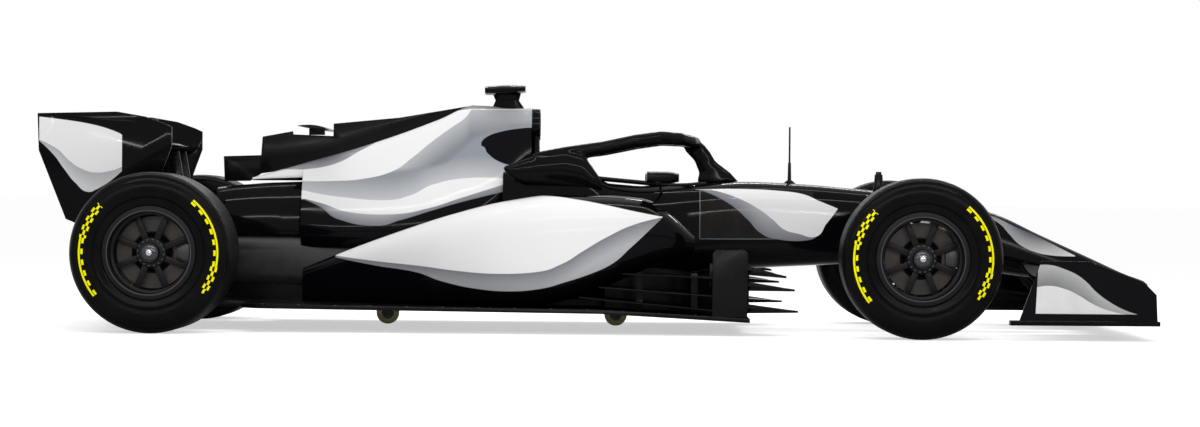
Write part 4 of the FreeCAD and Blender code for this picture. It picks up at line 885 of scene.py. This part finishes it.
for axle, hand, side, centre, half in wheels:
    outer = half - 0.012
    face = outer - 0.072
    barrel_line = [(0.1725, outer), (0.1765, outer), (0.190, outer), (0.1935, outer - 0.002),
                   (0.1935, outer - 0.008), (0.1800, outer - 0.0082), (0.1798, -outer + 0.0082),
                   (0.1935, -outer + 0.008), (0.1935, -outer + 0.001), (0.1900, -outer), (0.1735, -outer),
                   (0.1722, -outer + 0.02), (0.1722, face - 0.018), (0.160, face - 0.014),
                   (0.158, face - 0.006), (0.1685, face - 0.002), (0.1722, face + 0.012)]
    collar_line = [(0.0225, face + 0.004), (0.046, face + 0.004), (0.050, face + 0.002),
                   (0.060, face + 0.001), (0.0635, face - 0.003), (0.0645, face - 0.020),
                   (0.062, face - 0.026), (0.0225, face - 0.026)]
    barrel = spun("rim_barrel", [(radius, side * along) for radius, along in barrel_line], centre, 120)
    smooth_by(barrel, 35)
    barrel.data.materials.append(rim_finish.material)
    barrel.data.materials.append(lip_finish.material)
    for flat in barrel.data.polygons:
        from_hub = flat.center - centre
        if side * from_hub.y > outer - 0.012 and 0.172 < math.hypot(from_hub.x, from_hub.z) < 0.178:
            flat.material_index = 1
    spokes = [rim_spoke(centre, side, face, math.radians(22.5 + 45 * k)) for k in range(8)]
    collar = spun("rim_collar", [(radius, side * along) for radius, along in collar_line], centre, 64)
    smooth_by(collar, 35)
    collar.data.materials.append(rim_finish.material)
    rim = join_all([barrel, *spokes, collar, *rim_bolts(centre, side, face)], f"{axle}_rim_cast_{hand}")
    seat_on(rim, f"{axle}_wheel_{hand}", "rim", f"{axle}_rim_{hand}")


# Hubs and brakes: a wheel nut on a steel axle, and a carbon disc that shows brown grey behind
# the spokes. The turned nodes stay, and their finish changes with the radius.

nut_reach, disc_bore = 0.041, 0.082
for axle, hand, side, centre, half in wheels:
    hub_finish = Finish(f"{axle}_hub_metal_{hand}", (0.4, 0.4, 0.41), 0.3, metallic=0.6, centre=centre)
    reach = from_axle(hub_finish)
    nut = (reach < nut_reach) * (hub_finish.y * float(side) > half - 0.095)
    disc = reach > disc_bore
    soot = hub_finish.noise(22.0, 5.0)
    disc_tone = hub_finish.mix(soot, (0.010, 0.008, 0.007), (0.060, 0.048, 0.042))
    hub_finish["Base Color"] = hub_finish.layers((0.01, 0.01, 0.011), (disc, disc_tone),
                                                 (nut, (0.05, 0.052, 0.058)))
    hub_finish["Metallic"] = nut.to("MULTIPLY_ADD", 0.5, 0.45)
    hub_finish["Roughness"] = disc.to("MULTIPLY_ADD", 0.3, 0.16)
    paint_all(bpy.data.objects[f"{axle}_hub_{hand}"], hub_finish)


# Wheel nut caps: a dark chromed dome with a polished tip closes each wheel nut and turns with it.
# Each is spun to fit the end of its own nut.

cap_chrome = polished("cap_chrome", (0.06, 0.062, 0.07), 0.14, 90.0, 0.08, 0.2, detail=3.0)
tip_chrome = polished("tip_chrome", (0.50, 0.51, 0.54), 0.10, 400.0, 0.08, 0.2)
for axle, hand, side, centre, half in wheels:
    hub = bpy.data.objects[f"{axle}_hub_{hand}"]
    nut_end = max(side * ((hub.matrix_world @ corner.co).y - centre.y) for corner in hub.data.vertices)
    cap_line = [(0.0405, -0.026), (0.0425, -0.020), (0.0415, -0.010), (0.0370, -0.001), (0.0290, 0.006),
                (0.0200, 0.009), (0.0130, 0.010), (0.0120, 0.014), (0.0090, 0.016), (0.0005, 0.0165),
                (0.0005, 0.001), (0.0380, 0.0005), (0.0385, -0.026)]
    cap_profile = [(radius, side * (nut_end + along)) for radius, along in cap_line]
    cap = spun(f"{axle}_nut_cap_{hand}", cap_profile, centre, 48)
    smooth_by(cap, 40)
    finish_piece(cap, cap_chrome, f"{axle}_wheel_{hand}", "rim")
    cap.data.materials.append(tip_chrome.material)
    for flat in cap.data.polygons:
        if side * (flat.center.y - centre.y) > nut_end + 0.0105:
            flat.material_index = 1


# Running gear metal: machined alloy uprights and castings, a cast engine block and gearbox case,
# and heat tinted steel tail pipes.

def metal(name, dark, light, roughness, metallic, scale):
    """A surface with mottled tone, uneven polish and fine grain."""
    finish = Finish(name, dark, roughness, metallic)
    cloud = finish.noise(scale, 5.0)
    finish["Base Color"] = finish.mix(cloud, dark, light)
    finish["Roughness"] = cloud.ranged(roughness - 0.08, roughness + 0.1)
    finish.rough_up(finish.noise(700.0, 2.0, 0.5), 0.06, 0.0005)
    return finish


alloy = metal("machined_alloy", (0.02, 0.02, 0.022), (0.07, 0.07, 0.075), 0.32, 0.8, 25.0)
casting = metal("cast_magnesium", (0.015, 0.015, 0.016), (0.04, 0.04, 0.043), 0.42, 0.5, 18.0)
pipe_steel = metal("tinted_pipe", (0.16, 0.12, 0.10), (0.32, 0.28, 0.27), 0.28, 0.9, 9.0)
dress("rear_uprights", alloy, "alloy", ease=0.002)
for hand, side in hands:
    dress(f"front_upright_{hand}", alloy, "alloy", f"front_steering_{hand}", ease=0.002)
dress("engine_block", casting, "alloy", ease=0.008)
dress("gearbox", casting, "alloy", ease=0.002)
dress("exhaust", pipe_steel, "exhaust", ease=0.0008)


# Cockpit: a moulded shell seat, a padded surround in three pads, and a flat carbon wheel. They
# keep their CAD form with edges eased to suit plastic, foam and carbon.

shell_plastic = metal("seat_shell", (0.015, 0.015, 0.016), (0.03, 0.03, 0.032), 0.45, 0.0, 30.0)
dress("seat", shell_plastic, "seat", ease=0.004)
pad_cloth = Finish("pad_cloth", (0.02, 0.02, 0.021), 0.75, specular=0.3)
knit = pad_cloth.add("TexChecker", pad_cloth.spot, (0.015, 0.015, 0.016), (0.03, 0.03, 0.032), 420.0)
pad_cloth["Base Color"] = pad_cloth.mix(pad_cloth.noise(14.0), knit, (0.035, 0.035, 0.037))
pad_cloth.rough_up(pad_cloth.noise(500.0, 3.0), 0.2, 0.0006)
pads = dress("headrest", pad_cloth, "pad", ease=0.018, angle=60)
dress("steering_wheel", weave, "carbon", "steering_wheel", ease=0.002)


# Wheel controls: a framed display, two columns of push buttons a side and three rotary knobs
# stand on the steering wheel's face, on the driver's side, and turn with it.

wheel_corners = [corner.co for corner in bpy.data.objects["steering_wheel_dressed"].data.vertices]
column_end = max(corner.x for corner in wheel_corners)
column_foot = [corner for corner in wheel_corners if corner.x > column_end - 0.012]
grip_corners = [corner for corner in wheel_corners if abs(corner.y) > 0.120]
foot_place = sum(column_foot, Vector()) / len(column_foot)
wheel_middle = sum(grip_corners, Vector()) / len(grip_corners)
wheel_middle.y = 0.0
tilt = math.radians(15)
face_out = Vector((-math.cos(tilt), 0, math.sin(tilt) * (1 if wheel_middle.z > foot_place.z else -1)))
face_up = Vector((face_out.z, 0, -face_out.x))
across_wheel = Vector((0, 1, 0))
facing_wheel = Matrix((across_wheel, face_up, across_wheel.cross(face_up))).transposed().to_4x4()
if facing_wheel.col[2].to_3d().dot(face_out) < 0:
    facing_wheel.col[0] *= -1
    facing_wheel.col[2] *= -1
control_plastic = metal("control_plastic", (0.008, 0.008, 0.009), (0.016, 0.016, 0.017), 0.34, 0.0, 60.0)
screen_glass = metal("screen_glass", (0.003, 0.005, 0.008), (0.006, 0.008, 0.013), 0.12, 0.0, 25.0)
button_tones = (("red", (0.36, 0.015, 0.015), (0.50, 0.02, 0.02)),
                ("green", (0.02, 0.24, 0.05), (0.03, 0.34, 0.07)),
                ("blue", (0.02, 0.08, 0.36), (0.03, 0.11, 0.50)),
                ("grey", (0.24, 0.24, 0.24), (0.34, 0.34, 0.34)))
button_finishes = [metal(f"button_{tone_name}", dark_tone, tone, 0.35, 0.0, 90.0)
                   for tone_name, dark_tone, tone in button_tones]


def on_wheel(across, up, out):
    """A place on the wheel's face, turned to stand square on it."""
    spot = wheel_middle + across_wheel * across + face_up * up + face_out * out
    return Matrix.Translation(spot) @ facing_wheel


def rounded_block(place, sizes, radius, segments, finish):
    """A small block with rounded edges."""
    bpy.ops.object.select_all(action="DESELECT")
    bpy.ops.mesh.primitive_cube_add(size=1)
    block = bpy.context.object
    block.data.transform(place @ Matrix.Diagonal((*sizes, 1)))
    modify(block, "BEVEL", width=radius, segments=segments)
    block.data.materials.append(finish.material)
    return block


def round_control(across, up, radius, finish):
    """A push button or knob with a rounded edge."""
    bpy.ops.object.select_all(action="DESELECT")
    bpy.ops.mesh.primitive_cylinder_add(vertices=20, radius=radius, depth=0.012)
    knob = bpy.context.object
    knob.data.transform(on_wheel(across, up, 0.018))
    modify(knob, "BEVEL", width=0.0008, segments=2, limit_method="ANGLE")
    knob.data.materials.append(finish.material)
    return knob


controls = [rounded_block(on_wheel(0, 0.012, 0.017), (0.112, 0.064, 0.010), 0.0012, 2, control_plastic),
            rounded_block(on_wheel(0, 0.012, 0.0225), (0.098, 0.050, 0.003), 0.0012, 2, screen_glass)]
button_radius, knob_radius = 0.0042, 0.0085
button_start, button_top = 0.067, 0.034
column_pitch, row_pitch = 0.015, 0.021
for side in (-1, 1):
    for row in range(3):
        for column in range(2):
            across = side * (button_start + column_pitch * column)
            tone = button_finishes[(row * 2 + column) % 4]
            controls.append(round_control(across, button_top - row_pitch * row, button_radius, tone))
for across in (-0.036, 0.0, 0.036):
    controls.append(round_control(across, -button_top, knob_radius, control_plastic))
wheel_controls = join_all(controls, "wheel_controls")
smooth_by(wheel_controls, 35)
seat_on(wheel_controls, "steering_wheel", "carbon")


# Harness: woven belts run down the seat's back to one buckle, with a lap belt from each side.
# Each belt is a flat band carried along its line.

webbing = Finish("belt_webbing", (0.05, 0.05, 0.055), 0.8)
weft = webbing.add("TexWave", webbing.spot, 260.0, 0.0, 0.0, wave_type="BANDS", bands_direction="Z")
webbing["Base Color"] = webbing.mix(weft, (0.020, 0.020, 0.022), (0.065, 0.065, 0.070))
belt_width, belt_thickness = 0.036, 0.003
shoulder_height, lap_height = 0.625, 0.255


def belt(name, path, across):
    """A flat band along a path of points, wide in one direction."""
    rows = []
    half_band = across * belt_width / 2
    for k, place in enumerate(path):
        along = (path[min(k + 1, len(path) - 1)] - path[max(k - 1, 0)]).normalized()
        proud = across.cross(along).normalized() * belt_thickness / 2
        rows.append([place - half_band - proud, place + half_band - proud, place + half_band + proud,
                     place - half_band + proud])
    band = rolled_skin(name, rows)
    band.data.materials.append(webbing.material)
    return band


def before_seat(y, z, clear):
    """The place in front of the seat's back, clear of its face."""
    seat = bpy.data.objects["seat_dressed"]
    hit, place, normal, face = seat.ray_cast(Vector((0, y, z)), Vector((-1, 0, 0)))
    if not hit:
        place = Vector((-0.18, y, z))
    return place + Vector((clear, 0, 0))


belts = []
for side in (-1, 1):
    shoulder = []
    for k in range(15):
        share = k / 14
        z = shoulder_height + (lap_height - shoulder_height) * share
        shoulder.append(before_seat(side * (0.058 - 0.038 * share ** 2), z, 0.004 + 0.014 * share ** 4))
    belts.append(belt("shoulder_belt", shoulder, Vector((0, 1, 0))))
    lap = []
    for k in range(10):
        share = k / 9
        clear = 0.004 + 0.014 * math.sin(math.pi / 2 * share)
        lap.append(before_seat(side * (0.120 - 0.105 * share), lap_height, clear))
    belts.append(belt("lap_belt", lap, Vector((0.24, 0, 0.97)).normalized()))
bpy.ops.object.select_all(action="DESELECT")
bpy.ops.mesh.primitive_cylinder_add(vertices=32, radius=0.026, depth=0.014)
buckle = bpy.context.object
buckle_place = Matrix.Translation(before_seat(0.0, lap_height, 0.021))
buckle.data.transform(buckle_place @ Matrix.Rotation(math.radians(76), 4, "Y"))
buckle.data.materials.append(alloy.material)
harness = join_all([*belts, buckle], "harness")
smooth_by(harness, 40)
seat_on(harness, "car", "seat")


# Rain light: a dark red lens with rows of small lamps, in a black frame on the crash structure's
# rear face.

lens_red = Finish("lens_red", (0.20, 0.004, 0.004), 0.12)
small_lamps = lens_red.add("TexChecker", lens_red.spot, (0.24, 0.006, 0.006), (0.10, 0.002, 0.002), 120.0)
lens_red["Base Color"] = small_lamps
crash_corners = [corner.co for corner in bpy.data.objects["rear_crash_structure_dressed"].data.vertices]
crash_back = min(corner.x for corner in crash_corners)
back_heights = [corner.z for corner in crash_corners if corner.x < crash_back + 0.004]
light_height = (min(back_heights) + max(back_heights)) / 2
light_pieces = []
for sizes, back, finish in (((0.014, 0.070, 0.052), 0.007, control_plastic),
                            ((0.006, 0.058, 0.040), 0.016, lens_red)):
    light_place = Matrix.Translation((crash_back - back, 0, light_height))
    light_pieces.append(rounded_block(light_place, sizes, 0.002, 3, finish))
rain_light = join_all(light_pieces, "rain_light")
smooth_by(rain_light, 40)
seat_on(rain_light, "car", "carbon")


# Panel fasteners: flush quarter turn studs hold the nose and the floor's edges. Each stands where
# a ray from outside meets the skin.

stud_radius = 0.0055
studs_round = 13
nose_joint = 1.19
joint_margin = 0.024
floor_rail, floor_pitch = 0.735, 0.152


def studs_on(piece_name, rays):
    """Set a stud where each ray from outside meets a piece's skin."""
    skin = bpy.data.objects[piece_name]
    made = []
    for start, aim in rays:
        hit, place, normal, face = skin.ray_cast(start, (aim - start).normalized())
        if not hit:
            continue
        bpy.ops.object.select_all(action="DESELECT")
        bpy.ops.mesh.primitive_cone_add(vertices=14, radius1=stud_radius, radius2=stud_radius * 0.8,
                                        depth=0.0018)
        stud = bpy.context.object
        upright = normal.to_track_quat("Z", "Y").to_matrix().to_4x4()
        stud.data.transform(Matrix.Translation(place + normal * 0.0006) @ upright)
        stud.data.materials.append(bolt_finish.material)
        made.append(stud)
    return made


def rays_round(x):
    """Rays from round a station, all but below, towards the car's middle."""
    middle = Vector((x, 0, 0.46))
    rays = []
    for k in range(studs_round):
        angle = math.radians(-30 + 20 * k)
        rays.append((middle + 0.7 * Vector((0, math.cos(angle), math.sin(angle))), middle))
    return rays


studs = studs_on("nose_shell", rays_round(nose_joint + joint_margin))
studs += studs_on("tub_shell", rays_round(nose_joint - joint_margin))
for hand, side in hands:
    floor_spots = [(-1.42 + floor_pitch * k, side * floor_rail) for k in range(13)]
    studs += studs_on("floor_dressed", [(Vector((x, y, 0.6)), Vector((x, y, 0.0))) for x, y in floor_spots])
fasteners = join_all(studs, "panel_fasteners")
smooth_by(fasteners, 30)
seat_on(fasteners, "car", "steel")


# Casters: the display car's small trolley wheels, pale poured tread on a dark hub, in steel forks.
# The forks are dressed copies, and the wheels' nodes stay with a finish that changes at the hub.

fork_steel = metal("fork_steel", (0.10, 0.10, 0.10), (0.22, 0.22, 0.22), 0.35, 0.8, 30.0)
dress("caster_forks", fork_steel, "steel", ease=0.0015)
caster_hub_radius = 0.027
for end in ("front", "rear"):
    caster_axle = joint_places[f"caster_spin_{end}"]
    caster_finish = Finish(f"caster_{end}_tread", (0.86, 0.79, 0.34), 0.4, centre=caster_axle)
    hub_core = from_axle(caster_finish) < caster_hub_radius
    tread_tone = caster_finish.mix(caster_finish.noise(60.0), (0.92, 0.84, 0.38), (0.74, 0.67, 0.26))
    caster_finish["Base Color"] = caster_finish.mix(hub_core, tread_tone, (0.02, 0.02, 0.02))
    paint_all(bpy.data.objects[f"caster_wheel_{end}"], caster_finish)
